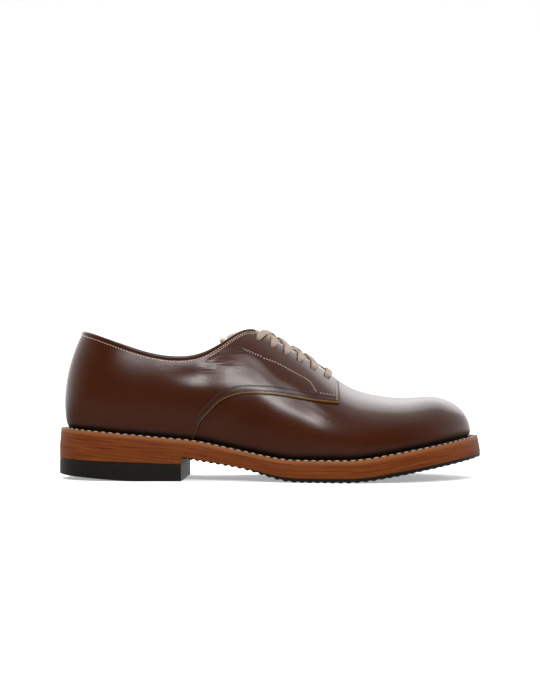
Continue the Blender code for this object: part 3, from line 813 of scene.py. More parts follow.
# painted shade at the foot: full near the welt, gone at the tuck's height
foot = soft_step(over_welt(points), SHADED_FOOT_HEIGHT, TUCK_HIGH)
upper = sheet("upper_shell", points, {"u": stations[:, None], "q": q, **PLAIN, "groove": foot})
over_foot = face_mean(upper, "q")
behind_vamp = face_mean(upper, "u") < u_at(VAMP_REAR_X)
delete_faces(upper, behind_vamp & (over_foot > 1) & (over_foot < 2))
punch(upper, 0.0)
in_edit_mode(upper, (bpy.ops.mesh.remove_doubles, {"threshold": MERGE_WITHIN}))
thicken(upper, UPPER_WALL, 0.3, rim=2)
complete(upper, (brown_leather, lining_leather, cut_edge), "upper_leather", "upper")

# %% [markdown]
# ## The quarters
# Each quarter is a panel of its own, laid on the vamp: it reaches from the back seam to a rounded
# front corner, with the collar and the facing as its top edge and a curved seam as its lower one.
# The pattern below gives, for each station, how far down the leather the rows lie. They crowd at
# both edges, where a groove under the collar and the cut edge need fine steps.

# %% Quarter pattern
Seam = namedtuple("Seam", "x z")
QUARTER_SEAM = [
    Seam(99.5, 29.0), Seam(103.0, 38.5), Seam(108.8, 46.0), Seam(115.6, 53.0), Seam(123.8, 57.8),
    Seam(133.0, 60.2), Seam(144.0, 60.3), Seam(160.0, 59.0), Seam(180.0, 55.7), Seam(201.0, 53.2),
]
FRONT_X, CORNER_TOP, CORNER_LOW = 200.7, 5.5, 1.6  # the front edge and the radii of its corners
COLLAR_TO_X = 140.0  # the bound collar ends here, and the facing starts
TOP_ROWS = np.array([0, 0.3, 0.6, 0.9, 1.2, 1.5, 1.8, 2.05, 2.3, 2.55, 2.8, 3.2, 3.8, 4.6])
LOW_ROWS = np.array([2.6, 1.8, 1.2, 0.8, 0.4, 0])
MIDDLE_ROWS = 72
seam_z = spline(column(QUARTER_SEAM, "x"), column(QUARTER_SEAM, "z"))


def round_corner(x, radius):
    """How far an edge is cut back near the front end."""
    into = np.clip(x - (FRONT_X - radius), 0, radius)
    return radius - np.sqrt(radius**2 - into**2)


def seam_below(u, side):
    """Distance from the top edge down to the quarter's lower edge."""
    _, run, z = wall_run(u, side)
    x = x_at(u)
    lower = run[:, -1].copy()
    for i in np.flatnonzero(x > QUARTER_SEAM[0].x + 0.01):
        lower[i] = np.interp(-seam_z(x[i]) - round_corner(x[i], CORNER_LOW), -z[i], run[i])
    return lower


def quarter_rows(u, side):
    """Rows of one quarter as distances below the top edge, from the top down."""
    top, lower = round_corner(x_at(u), CORNER_TOP), seam_below(u, side)
    share = np.linspace(0, 1, MIDDLE_ROWS)[1:-1]
    first, final = top + TOP_ROWS[-1], lower - LOW_ROWS[0]
    middle = first[:, None] + (final - first)[:, None] * share
    return np.column_stack([top[:, None] + TOP_ROWS, middle, lower[:, None] - LOW_ROWS])


print("quarter's lower edge, highest z, mm:", column(QUARTER_SEAM, "z").max())

# %% [markdown]
# Worn leather isn't quite fair. Below the collar a few soft wrinkles run level, where the leather
# bends: each is a shallow trough with a place, a length and a depth. Behind them the side dips a
# little at the ankle. Sculpting would do it too, but numbers can be matched to the photo one at a
# time.

# %% Wrinkles and the ankle's hollow
Wrinkle = namedtuple("Wrinkle", "x_from x_to z depth")
WRINKLES = [
    Wrinkle(101, 127, 80.4, 0.060),
    Wrinkle(104, 130, 82.6, 0.108),
    Wrinkle(112, 135, 84.3, 0.132),
    Wrinkle(108, 131, 86.2, 0.120),
    Wrinkle(114, 140, 87.9, 0.144),
    Wrinkle(117, 137, 89.9, 0.108),
    Wrinkle(121, 140, 91.6, 0.072),
]
WRINKLE_END, WRINKLE_SLOPE, WRINKLE_WIDTH = 7, 0.05, 0.6
ANKLE_HOLLOW = 0.8  # soft dent under the collar, where the ankle bends
HOLLOW_BACK, HOLLOW_FRONT = (110, 74), (98, 138)  # x where it is full, and where it ends
HOLLOW_Z, HOLLOW_WIDTH = 73, 6.5


def trough(distance, width):
    """1 in the middle of a soft groove, falling to 0 on both sides."""
    return np.exp(-((distance / width) ** 2))


def wrinkled(points):
    """How deep the leather dips at points of a quarter."""
    x, z = points[..., 0], points[..., 2]
    depth = np.zeros(x.shape)
    for w in WRINKLES:
        level = w.z + WRINKLE_SLOPE * (x - w.x_from)
        start = soft_step(x, w.x_from + WRINKLE_END, w.x_from)
        end = soft_step(x, w.x_to - WRINKLE_END, w.x_to)
        depth += w.depth * start * end * trough(z - level, WRINKLE_WIDTH)
    hollow = soft_step(x, *HOLLOW_BACK) * soft_step(x, *HOLLOW_FRONT)
    return depth + ANKLE_HOLLOW * hollow * trough(z - HOLLOW_Z, HOLLOW_WIDTH)


print("deepest wrinkle, mm:", column(WRINKLES, "depth").max())

# %% [markdown]
# Now both quarters, from one function. Their marks come from the distance to an edge: painted
# shade in the groove under the collar, a painted shadow along the front edge, an ochre line at the
# lower edge, a pale band along the facing, partly its own colour and partly a painted highlight,
# and fine creases beside it. The foot over the welt gets the painted shade too.

# %% Quarters
BACK_GAP = 0.2  # each quarter starts this far from the back seam's middle
FINE_FROM_X = 137  # closer stations from here on, for the eyelets
COLLAR_GROOVE, GROOVE_WIDTH, GROOVE_DEPTH = 2.45, 0.3, 0.35
CREASE_X, CREASE_Z = 119, 82  # the middle of the fine creases
FAR = 99.0


def quarter_stations():
    start = BACK_GAP * float(u_at(FEATHER[1].x)) / FEATHER[1].y_med
    corner = FRONT_X - CORNER_TOP * (1 - np.sin(np.linspace(0, np.pi / 2, 14)))
    return merged(
        np.linspace(start, float(u_at(FINE_FROM_X)), 128),
        u_at(np.linspace(FINE_FROM_X, corner[0], 66)),
        u_at(corner),
    )


def quarter_marks(x, below, flat):
    """The numbers that tint a quarter, and the share of its collar groove."""
    from_top, from_seam = below - below[:, :1], below[:, -1:] - below
    collar = soft_step(x, COLLAR_TO_X - 2, COLLAR_TO_X + 2)
    # the collar groove's share: it sets the groove's depth and its painted shade
    groove = collar * trough(from_top - COLLAR_GROOVE, GROOVE_WIDTH)
    facing = soft_step(x, COLLAR_TO_X + 3, COLLAR_TO_X) * soft_step(x, FRONT_X - 6.5, FRONT_X - 5)
    at_corner = np.where(x > FRONT_X - CORNER_TOP - 0.5, from_top, FAR)
    from_front = np.minimum(FRONT_X - x, at_corner)
    # a painted shadow along the front edge and its rounded top corner
    front = soft_step(from_front, 1.0, 1.5) * soft_step(from_seam, 1.2, 0.7)
    # painted shade at the foot over the welt
    foot = soft_step(over_welt(flat), SHADED_FOOT_HEIGHT, TUCK_HIGH)
    bent = soft_step(np.abs(flat[..., 0] - CREASE_X), 8, 19)
    bent = bent * soft_step(np.abs(flat[..., 2] - CREASE_Z), 3, 9)
    marks = {
        # near black painted shade: collar groove, front edge and foot
        "groove": np.maximum(np.maximum(groove, front) * 0.85, foot),
        "ochre": soft_step(x, 100, 99.5) * soft_step(from_seam, 0.35, 0.75),
        # pale band along the facing: partly its own colour, partly a painted highlight
        "beige": facing * soft_step(from_top, 1.5, 2.0) * 0.9,
        "crease": bent * soft_step(from_top, 9, 6),
    }
    return marks, groove


def make_quarter(side, name, node):
    u = quarter_stations()
    below = quarter_rows(u, side)
    q = q_below(u, side, below)
    flat = last(u, q)
    marks, groove = quarter_marks(x_at(u)[:, None], below, flat)
    out = QUARTER_OUT - GROOVE_DEPTH * groove - wrinkled(flat)
    order = slice(None, None, -1) if side == "lat" else slice(None)
    points = wrap(u, q, out)[0][:, order]
    piece = sheet(name, points, {k: v[:, order] for k, v in marks.items()})
    punch(piece, QUARTER_OUT)
    thicken(piece, QUARTER_THICK, 0.25)
    complete(piece, (brown_leather, cut_edge), "upper_leather", node)


make_quarter("lat", "quarter_outer_side", "quarter_lateral")
make_quarter("med", "quarter_inner_side", "quarter_medial")

# %% [markdown]
# ## The collar's binding
# The collar is bound: a narrow strip of leather is folded over quarter and lining together. Its
# section is a small arch, drawn once and set at every station along the collar, upright on the
# leather there. A curve with a bevel profile would give a tube too, but it twists on its own, and
# this strip must not.

# %% Collar binding
Fold = namedtuple("Fold", "out up")
BINDING = [
    Fold(1.80, -2.1), Fold(2.08, -1.5), Fold(2.12, -0.8), Fold(1.85, -0.1), Fold(1.20, 0.35),
    Fold(0.30, 0.50), Fold(-0.60, 0.45), Fold(-1.40, 0.15), Fold(-2.00, -0.4), Fold(-2.10, -1.2),
    Fold(-1.88, -2.1), Fold(-1.2, -1.5), Fold(1.1, -1.5),
]
THIN_END, END_STEPS = 0.55, 6  # the strip gets lower over its last stations


def collar_line(side, u):
    """Points of the collar's edge, the leather's normal there, and the direction up."""
    edge, step = (1.0, -0.01) if side == "lat" else (2.0, 0.01)
    q = np.full((len(u), 1), edge)
    points, normals = wrap(u, q, np.zeros(q.shape))
    return points[:, 0], normals[:, 0], unit(points - last(u, q + step))[:, 0]


u = np.linspace(float(u_at(COLLAR_TO_X + 1.5)), 0, 150)
both_sides = [collar_line("lat", u), collar_line("med", u[::-1][1:])]
line, normal, rise = (np.concatenate(pair) for pair in zip(*both_sides))
taper = np.ones(len(line))
taper[:END_STEPS] = taper[-END_STEPS:][::-1] = np.linspace(THIN_END, 1, END_STEPS)
fold = np.array(BINDING)[None] * np.stack([np.ones(len(line)), taper], 1)[:, None]
sections = line[:, None] + fold[..., :1] * normal[:, None] + fold[..., 1:] * rise[:, None]
binding = loft("collar_binding", sections, PLAIN)
complete(binding, (brown_leather,), "upper_leather", degrees=60)

# %% [markdown]
# ## The tongue
# The tongue lies under the facings and ends free over the collar's opening. It is a sheet like
# the others, 2 mm thick, with rounded corners at its free end. There the undyed lining is rolled
# over its edge, which is a second piece: a loft that follows the edge.

# %% Tongue
TONGUE_X, TONGUE_STATIONS, TONGUE_ROWS = (116.5, 206.0), 110, 44
TONGUE_IN, TONGUE_THICK = UPPER_WALL + 0.75, 2.0
TONGUE_HALF, TONGUE_CURL = 24.0, -2.2
FREE_X, FREE_RUN = 138.0, 21.0  # it narrows behind here, in the collar's opening
FRONT_END_X, FRONT_END_RUN = 170, 36  # and again from here to its sewn end


def q_across(u, distance):
    """q at distances from the middle of the instep along the surface, outer side negative."""
    q = np.linspace(0.3, 2.7, 481)
    run = run_along(last(u, np.tile(q, (len(u), 1))))
    return np.array([np.interp(d + np.interp(1.5, q, r), r, q) for d, r in zip(distance, run)])


def into_end(x, length):
    """0 to 1 over a length at the tongue's free end."""
    return np.clip((TONGUE_X[0] + length - x) / length, 0, 1)


x = TONGUE_X[0] + (TONGUE_X[1] - TONGUE_X[0]) * np.linspace(0, 1, TONGUE_STATIONS) ** 1.6
free = np.clip((FREE_X - x) / FREE_RUN, 0, 1)
sewn = np.clip((x - FRONT_END_X) / FRONT_END_RUN, 0, 1)
half = TONGUE_HALF * (1 - 0.35 * free**2) * (1 - 0.25 * sewn)
half *= np.sqrt(1.02 - into_end(x, 12) ** 2)
q = q_across(u_at(x), half[:, None] * np.linspace(-1, 1, TONGUE_ROWS))
curl = TONGUE_CURL * into_end(x, 9) ** 1.6
points = wrap(u_at(x), q, curl[:, None] - np.full(q.shape, TONGUE_IN))[0]
tongue = sheet("tongue_leather", points, PLAIN)
thicken(tongue, TONGUE_THICK, 0.5, segments=3)
complete(tongue, (brown_leather, lining_leather), "upper_leather", "tongue")

# %% [markdown]
# The rolled end follows the tongue's edge from one side round to the other and thins out at both
# ends.

# %% Rolled end of the tongue
TONGUE_ROLL, ROLL_REACH = 2.4, 15  # the roll's radius, and how far it runs along the sides
ROUND = np.linspace(0, 2 * np.pi, 15)[:-1]  # angles round a small section
end = np.flatnonzero(x < TONGUE_X[0] + ROLL_REACH)[::-1]


def round_end(values):
    """The stations' values from one side of the tongue round its free end to the other."""
    return np.concatenate([values[end], np.full(TONGUE_ROWS - 2, values[0]), values[end[::-1]]])


q_line = np.concatenate([q[end, 0], q[0, 1:-1], q[end[::-1], -1]])
out = round_end(curl) - TONGUE_IN - TONGUE_THICK / 2
line, normal = (v[:, 0] for v in wrap(u_at(round_end(x)), q_line[:, None], out[:, None]))
outward = unit(np.cross(np.gradient(line, axis=0), normal))
size = TONGUE_ROLL * np.sqrt(np.sin(np.linspace(0.12, np.pi - 0.12, len(line))))[:, None, None]
circle = np.cos(ROUND)[None, :, None] * normal[:, None] + np.sin(ROUND)[None, :, None] * outward[:, None]
roll = loft("tongue_rolled_end", line[:, None] + size * circle)
complete(roll, (lining_leather,), "lining", degrees=60)

# %% [markdown]
# ## The sole
# Under the upper lie the welt, a strip sewn on all round, the leather midsole, the ribbed rubber
# tread, and a heel of one leather lift with a rubber top piece. Each is a loft of sections: at
# every station the outer and the inner edge stand a set distance out from the feather line, and
# the depth is measured square to the welt's top face. So all layers follow the same heel pitch,
# waist and toe spring, and no layer has to be bent afterwards.

# %% Sections of the sole
WELT_THICK, MIDSOLE_THICK, OUTSOLE_THICK, WAIST_OUTSOLE = 3.2, 8.2, 2.8, 1.1
MIDSOLE_TOP = WELT_THICK + GAP
OUTSOLE_TOP = MIDSOLE_TOP + MIDSOLE_THICK + GAP
WAIST_X, WAIST_HALF = 140, 40
WAIST_THINNED = 1.3  # sanded off the midsole under the waist


def waist(x):
    """1 at the narrow waist between heel and ball, 0 elsewhere, by the length along the shoe."""
    return soft_step(np.abs(x - WAIST_X), 0, WAIST_HALF)


def under(points, depth):
    """Points on the welt's top face moved into the sole, square to it."""
    rise = welt_rise(points[:, 0])
    size = np.hypot(1, rise)
    return points + np.column_stack([depth * rise / size, np.zeros(len(points)), -depth / size])


def wall(top, bottom, corner):
    """A layer's edge from top to bottom with eased corners, as (inset, depth)."""
    ease = corner * 0.3
    upper_corner = [(corner, top), (ease, top + ease), (0, top + corner)]
    return upper_corner + [(0, bottom - corner), (ease, bottom - ease), (corner, bottom)]


def edge_rows(u, side, profile, reach):
    """Lines along one side of a layer, one for each (inset, depth) of its profile."""
    return [under(feather_line(u, side, reach - inset)[0], depth) for inset, depth in profile]


def layer_sections(u, profile, reach):
    """Sections of a full layer that reaches so far out: down the outer edge, up the inner one.
    Also each point's depth."""
    outer, inner = (edge_rows(u, side, profile, reach) for side in SIDES)
    depths = [np.broadcast_to(depth, len(u)) for _, depth in profile]
    return np.stack(outer + inner[::-1], 1), np.stack(depths + depths[::-1], 1)


print("sole layers start at depths, mm:", 0, MIDSOLE_TOP, OUTSOLE_TOP)

# %% [markdown]
# The welt is the strip that everything is sewn to. It is a ring, so its sections run round the
# whole shoe: along the outer side to the toe and back along the inner side. Its top is near black
# from the upper out to 2.6 mm from its edge and fades from there. Its rounded top corner is paler,
# partly sanded leather and partly a painted highlight.

# %% Welt
WELT_INSIDE = 2.9  # how far its inner edge lies inside the feather line
RING = [(2.6, 0.0), (0.5, 0.0), (0.15, 0.12), (0.0, 0.5), (0.0, WELT_THICK + 0.28)]
LOWEST = RING[-1][1]
u_round = np.linspace(0, 1, 420)
ring = []
for side, u in zip(SIDES, (u_round, u_round[::-1][1:])):
    inside = feather_line(u, side, -WELT_INSIDE)[0]
    section = edge_rows(u, side, RING, FEATHER_AT["welt"](u))
    ring.append(np.stack([inside, *section, under(inside, LOWEST)], 1))
depth = np.array([0.0, *(depth for _, depth in RING), LOWEST])
# the rounded top corner is paler: partly sanded, partly a painted highlight
rim = np.where((depth > 0) & (depth < 0.6), 1.0, 0.0)
# near black over the top's inner part, towards the upper, fading towards the edge
stain = np.array([1.0, 1.0, 0.25, 0.0, 0.0, 0.0, 0.0])
welt = loft("welt_strip", np.concatenate(ring), {"depth": depth, "rim": rim, "stain": stain})
complete(welt, (tan_leather,), "sole_leather", "welt", degrees=35)

# %% [markdown]
# The midsole is the thick tan edge of the photo, thinner under the waist. The insole lies inside
# the upper and shows only from above.

# %% Midsole and insole
TOUCH = 0.02  # a layer goes this far into the gap over it
INSOLE_RISE, INSOLE_INSET = 1.0, 0.5
u = np.linspace(0, 1, 320)
midsole_end = OUTSOLE_TOP - WAIST_THINNED * waist(x_at(u))
profile = wall(MIDSOLE_TOP - TOUCH, midsole_end, 0.25)
sections, depth = layer_sections(u, profile, FEATHER_AT["welt"](u))
midsole = loft("midsole_edge", sections, {"depth": depth, "rim": 0.0, "stain": 0.0})
complete(midsole, (tan_leather,), "sole_leather", "midsole", degrees=35)

profile = wall(-INSOLE_RISE, WELT_THICK, 0.4)
insole = loft("insole_board", layer_sections(u, profile, -(WELT_INSIDE + INSOLE_INSET))[0])
complete(insole, (lining_leather,), "lining", "insole", degrees=35)

# %% [markdown]
# The tread's ribs run across the sole, 5 mm apart. They are real grooves in the loft's lower
# side, because they break the outline where the sole lifts off the floor. Towards the toe they
# are shallower.

# %% Ribbed tread
HEEL_BREAST_X = 92.5
RIB_PITCH, RIB_DEPTH, TOE_RIB_DEPTH = 5.0, 0.75, 0.4
RIBS_FADE_X = (200, 235)  # the ribs get shallower between these
THIN_TO_X, FULL_FROM_X = 136, 172  # thin rubber at the waist, full at the ball
TAKES_UP_FROM_X = 150  # from here on it makes up for the thinned midsole
TREAD_STEP, TREAD_TIP_X, TREAD_INSET = 0.6, 296.0, 0.4
x = np.arange(HEEL_BREAST_X + 0.5, TREAD_TIP_X, TREAD_STEP)
u = merged(u_at(x), np.linspace(u_at(TREAD_TIP_X), 1, 16))
x = x_at(u)
rib_depth = np.interp(x, RIBS_FADE_X, (RIB_DEPTH, TOE_RIB_DEPTH))
ribs = rib_depth * soft_step(np.cos(2 * np.pi * x / RIB_PITCH), 0.25, -0.35)
top = OUTSOLE_TOP - WAIST_THINNED * waist(x)
thick = np.interp(x, (THIN_TO_X, FULL_FROM_X), (WAIST_OUTSOLE, OUTSOLE_THICK))
thick += WAIST_THINNED * waist(x) * soft_step(x, FULL_FROM_X, TAKES_UP_FROM_X)
bottom = np.minimum(top + thick, welt_z(x)) - rib_depth + ribs
profile = [(0.0, top - TOUCH), (0.0, bottom - 0.35), (0.3, bottom)]
sections, _ = layer_sections(u, profile, FEATHER_AT["welt"](u) - TREAD_INSET)
sections[..., 2] = np.maximum(sections[..., 2], 0.0)
tread = loft("ribbed_tread", sections)
complete(tread, (black_rubber,), "rubber", "outsole", degrees=30)

# %% [markdown]
# The heel is a wedge of leather and a rubber top piece, cut to the welt's outline. Its height
# follows the pitch of the sole, and the top piece is lifted at the back, where such a heel is
# worn. Two lofts with the same plan keep their sides flush.

# %% Heel
HEEL_FLAT_FROM_X, HEEL_BACK_LIFT = 56.0, 4.0
HEEL_JOINT_BACK_Z, HEEL_JOINT_BREAST_Z = 15.2, 11.6
LIFT_OVERLAP, RUBBER_GAP = 0.28, 0.1


def heel_sections(u, top_of, bottom_of, corner):
    """Sections of a heel piece between two heights, with eased corners."""
    welt = FEATHER_AT["welt"](u)
    found = []
    for side, order in zip(SIDES, (1, -1)):
        edge = under(feather_line(u, side, welt)[0], OUTSOLE_TOP)
        inside = under(feather_line(u, side, welt - corner)[0], OUTSOLE_TOP)
        top, bottom = top_of(edge), bottom_of(edge)
        rows = [(inside, top), (edge, top - corner), (edge, bottom + corner), (inside, bottom)]
        found += [np.column_stack([p[:, :2], z]) for p, z in rows][::order]
    return np.stack(found, 1)


def lift_top(edge):
    return edge[:, 2] + LIFT_OVERLAP


def lift_joint(edge):
    share = edge[:, 0] / HEEL_BREAST_X
    return HEEL_JOINT_BACK_Z + (HEEL_JOINT_BREAST_Z - HEEL_JOINT_BACK_Z) * share


def rubber_top(edge):
    return lift_joint(edge) - RUBBER_GAP


def heel_bottom(edge):
    share = np.clip((HEEL_FLAT_FROM_X - edge[:, 0]) / HEEL_FLAT_FROM_X, 0, None)
    return HEEL_BACK_LIFT * share**1.1


u = np.linspace(0, float(u_at(HEEL_BREAST_X)), 130)
sections = heel_sections(u, lift_top, lift_joint, 0.2)
depth = welt_z(sections[..., 0]) - sections[..., 2]
lift = loft("heel_lift_leather", sections, {"depth": depth, "rim": 0.0, "stain": 0.0})
complete(lift, (tan_leather,), "sole_leather", "heel_lift", degrees=35)
top_piece = loft("heel_top_piece_rubber", heel_sections(u, rubber_top, heel_bottom, 0.4))
complete(top_piece, (black_rubber,), "rubber", "heel_top_piece", degrees=35)

# %% [markdown]
# ## Stitches
# A stitch is a small bead of thread that dips into the leather at both ends. One sphere is added,
# turned and drawn out, and its points are then copied along each row, so that a row of hundreds
# is a single mesh. An Array modifier along a curve would space them too, but it cannot lay each
# one on the leather's own normal.

# %% One stitch, many times
LOOK_AHEAD = 0.3  # the direction of a stitch is taken over this much of its row, each way


def bead(length, width, height):
    """Points and faces of one stitch that lies along x, in millimetres."""
    bpy.ops.mesh.primitive_uv_sphere_add(segments=8, ring_count=6, radius=0.5)
    piece = bpy.context.object
    turned = {"value": np.pi / 2, "orient_axis": "Y", "center_override": (0, 0, 0)}
    drawn_out = {"value": (length, width, height)}
    in_edit_mode(
        piece, (bpy.ops.transform.rotate, turned), (bpy.ops.transform.resize, drawn_out)
    )
    shape = coords(piece), [list(face.vertices) for face in piece.data.polygons]
    bpy.data.objects.remove(piece)
    return shape


def sew(name, shape, rows, thread, slot):
    """Copies of a stitch on every row, as one piece. A row is (middles, along, up)."""
    points, faces = shape
    middles, along, up = (np.concatenate(part) for part in zip(*rows))
    across = unit(np.cross(up, along))
    up = np.cross(along, across)
    x, y, z = (points[None, :, k, None] for k in range(3))
    made = middles[:, None] + x * along[:, None] + y * across[:, None] + z * up[:, None]
    starts = range(0, len(middles) * len(points), len(points))
    every = [[start + i for i in face] for start in starts for face in faces]
    mesh = bpy.data.meshes.new(name)
    mesh.from_pydata(place(made.reshape(-1, 3)).tolist(), [], every)
    piece = bpy.data.objects.new(name, mesh)
    bpy.context.collection.objects.link(piece)
    complete(piece, (thread,), slot, degrees=80)


def spaced(line, normals, pitch, turn=0.0):
    """Places along a line at one pitch, with the direction along it, turned about the normal."""
    run = run_along(line)
    count = max(1, round(run[-1] / pitch))
    at = (np.arange(count) + 0.5) * run[-1] / count

    def pick(values, where):
        return np.column_stack([np.interp(where, run, values[:, k]) for k in range(3)])

    along = unit(pick(line, at + LOOK_AHEAD) - pick(line, at - LOOK_AHEAD))
    up = unit(pick(normals, at))
    along = np.cos(turn) * along + np.sin(turn) * np.cross(up, along)
    return pick(line, at), along, up


def on_quarter(side, u, below, pitch, lift=0.1, turn=0.0):
    """A row on a quarter's outer face."""
    q = q_below(u, side, np.reshape(below, (-1, 1)))
    points, normals = wrap(u, q, np.full(q.shape, QUARTER_OUT + lift))
    return spaced(points[:, 0], normals[:, 0], pitch, turn)


print("a stitch has", len(bead(1, 1, 1)[1]), "faces")

# %% [markdown]
# Pale thread holds the collar, the front edge and the line round the eyelets. Dark thread holds
# the two rows above the lower seam and a short bar of slanted stitches near the top of the
# facing, where the strain is. Rows are given as the distance below the top edge, or above the
# seam.

# %% Stitch rows of the upper
Knot = namedtuple("Knot", "x below")
EYESTAY = [
    Knot(129.0, 11.5), Knot(131.5, 16.5), Knot(135.0, 21.5), Knot(139.0, 24.6), Knot(144.0, 25.8),
    Knot(152.5, 24.7), Knot(160.0, 24.2), Knot(170.5, 25.5), Knot(179.0, 27.4), Knot(182.0, 31.0),
    Knot(184.5, 34.9),
]
BAR_X, EYESTAY_TO_X = (130.5, 147.0), 190
SEAM_ROWS, COLLAR_ROW, SECOND_ROW = (1.9, 5.2), 3.7, 5.6
SEAM_ROWS_FROM_X, SECOND_ROW_FROM_X, PALE_SEAM_X = 101.5, 110, (186.5, 197)
COLLAR_ROW_FROM_U, FRONT_ROW_X = 0.006, FRONT_X - 2.5
FRONT_ROW_ENDS = (3.4, 2.0)  # how far it stops short of the top edge and of the seam
PALE_OVER_DARK = 1.4  # the short pale row lies this far above the dark ones
BAR_SKIP, PALE_OVER_BAR = 6, 0.9  # the bar's pale row starts some steps later and lies higher
PALE_PITCH, SECOND_PITCH, DARK_PITCH = 2.1, 1.7, 1.9
FINE_BEAD, DARK_BEAD, BAR_BEAD = (1.4, 0.55, 0.55), (2.0, 0.95, 0.75), (3.8, 0.95, 0.75)


def eyestay(first, final):
    """The line round the eyelets between two lengths: its stations and distances below the edge."""
    steps, knots = np.linspace(0, len(EYESTAY) - 1, 240), np.arange(len(EYESTAY))
    x, below = (spline(knots, column(EYESTAY, k))(steps) for k in Knot._fields)
    inside = (x >= first) & (x <= final)
    return u_at(x[inside]), below[inside]


pale_rows, dark_rows, bar_rows = [], [], []
for side in SIDES:
    u = np.linspace(COLLAR_ROW_FROM_U, float(u_at(COLLAR_TO_X + 3)), 400)
    pale_rows.append(on_quarter(side, u, np.full(len(u), COLLAR_ROW), PALE_PITCH))
    u = u_between(SECOND_ROW_FROM_X, COLLAR_TO_X + 1, 120)
    pale_rows.append(on_quarter(side, u, np.full(len(u), SECOND_ROW), SECOND_PITCH, turn=0.9))
    pale_rows.append(on_quarter(side, *eyestay(BAR_X[1], EYESTAY_TO_X), PALE_PITCH))
    u = np.full(60, float(u_at(FRONT_ROW_X)))
    low = seam_below(u[:1], side)[0]
    below = np.linspace(FRONT_ROW_ENDS[0], low - FRONT_ROW_ENDS[1], 60)
    pale_rows.append(on_quarter(side, u, below, PALE_PITCH))
    for above in SEAM_ROWS:
        u = u_between(SEAM_ROWS_FROM_X, FRONT_ROW_X, 300)
        dark_rows.append(on_quarter(side, u, seam_below(u, side) - above, DARK_PITCH, turn=0.6))
    u = u_between(*PALE_SEAM_X, 60)
    below = seam_below(u, side) - SEAM_ROWS[1] - PALE_OVER_DARK
    pale_rows.append(on_quarter(side, u, below, PALE_PITCH))
    u, below = eyestay(*BAR_X)
    bar_rows.append(on_quarter(side, u, below, DARK_PITCH, turn=1.1))
    u, below = u[BAR_SKIP:], below[BAR_SKIP:] - PALE_OVER_BAR
    pale_rows.append(on_quarter(side, u, below, DARK_PITCH, turn=1.2))
sew("pale_stitches", bead(*FINE_BEAD), pale_rows, pale_thread, "upper_leather")
sew("dark_stitches", bead(*DARK_BEAD), dark_rows, dark_thread, "upper_leather")
sew("strain_bar_stitches", bead(*BAR_BEAD), bar_rows, dark_thread, "upper_leather")

# %% [markdown]
# The back seam is sewn through with short stitches across it, which show as a row of bumps in the
# outline of the heel. The welt's stitches are the boldest: thick waxed thread, 5 mm apart, all
# the way round.

# %% Back seam and welt stitches
BACK_SEAM_Q, BACK_PITCH, BACK_BEAD = (0.10, 0.78), 2.3, (3.2, 0.9, 1.0)
WELT_PITCH, WELT_INSET, WELT_BEAD = 5.3, 2.3, (3.4, 1.1, 1.0)

q = np.linspace(*BACK_SEAM_Q, 120)[None]
back = wrap(np.full(1, 1e-4), q, np.full(q.shape, QUARTER_OUT - 0.1))[0][0]
middles, _, up = spaced(back, np.tile([-1.0, 0, 0.15], (len(back), 1)), BACK_PITCH)
middles[:, 1] = 0
across = np.tile([0.0, 1.0, 0.0], (len(middles), 1))
back_row = (middles, across, up)
sew("back_seam_stitches", bead(*BACK_BEAD), [back_row], pale_thread, "upper_leather")

both_sides = zip(SIDES, (u_round, u_round[::-1]))
round_line = np.concatenate(
    [feather_line(u, side, FEATHER_AT["welt"](u) - WELT_INSET)[0] for side, u in both_sides]
)
rise = welt_rise(round_line[:, 0])
up = unit(np.column_stack([-rise, np.zeros(len(rise)), np.ones(len(rise))]))
welt_row = spaced(round_line + up * 0.1, up, WELT_PITCH)
sew("welt_stitches", bead(*WELT_BEAD), [welt_row], cream_thread, "lace")

# %% [markdown]
# ## The lace
# One flat lace, 5.2 mm wide. Over the lowest pair of eyelets it lies as a straight bar and goes
# in at both ends. Inside it crosses to the next pair, comes out of each eyelet, lies over the
# facing's edge, crosses to the other side and dives under that facing, and so on up to the top
# pair, where both ends go in and stay inside. Each strand is a list of knots, places given by the
# length along the shoe, the distance from the middle of the instep and the height over the
# leather, and the lace's flat section is lofted along it.

# %% Strands
Place = namedtuple("Place", "x d out width thick")
LACE_WIDTH, LACE_THICK = 5.2, 1.5
OVER = QUARTER_OUT + LACE_THICK / 2 + 0.1  # lying on the facing
UNDER = -(UPPER_WALL + TONGUE_IN) / 2  # flat between lining and tongue
EDGE_LEAN = 1.8  # the instep slopes, so a strand square to its edge leans to the toe
STRAND_STEP = 0.35
EASE = np.hanning(9) / np.hanning(9).sum()  # softens the corners at the knots


def facing_edge(x):
    """Distance from the middle of the instep to a facing's edge."""
    line = last(u_at(np.array([x])), np.linspace(1, 2, 81)[None])[0]
    return run_along(line)[-1] / 2


def out_of_eyelet(x, side, lean):
    """From inside the shoe, up through an eyelet and over the facing's edge."""
    edge = facing_edge(x)
    hole = edge + EYELET_DOWN
    return [
        Place(x, side * (hole + 0.2), UNDER, 2.8, 0.6),
        Place(x, side * (hole + 0.1), -0.4, 2.8, 1.2),
        Place(x, side * (hole - 0.1), 1.6, 3.3, 1.3),
        Place(x, side * (hole - 1.2), OVER + 0.15, 4.3, LACE_THICK),
        Place(x - 0.05 * lean, side * (hole - 4.0), OVER + 0.1, LACE_WIDTH, LACE_THICK),
        Place(x - 0.2 * lean, side * (edge + 0.8), OVER, LACE_WIDTH, LACE_THICK),
        Place(x - 0.7 * lean, side * (edge - 1.8), OVER - 0.2, LACE_WIDTH, LACE_THICK),
    ]


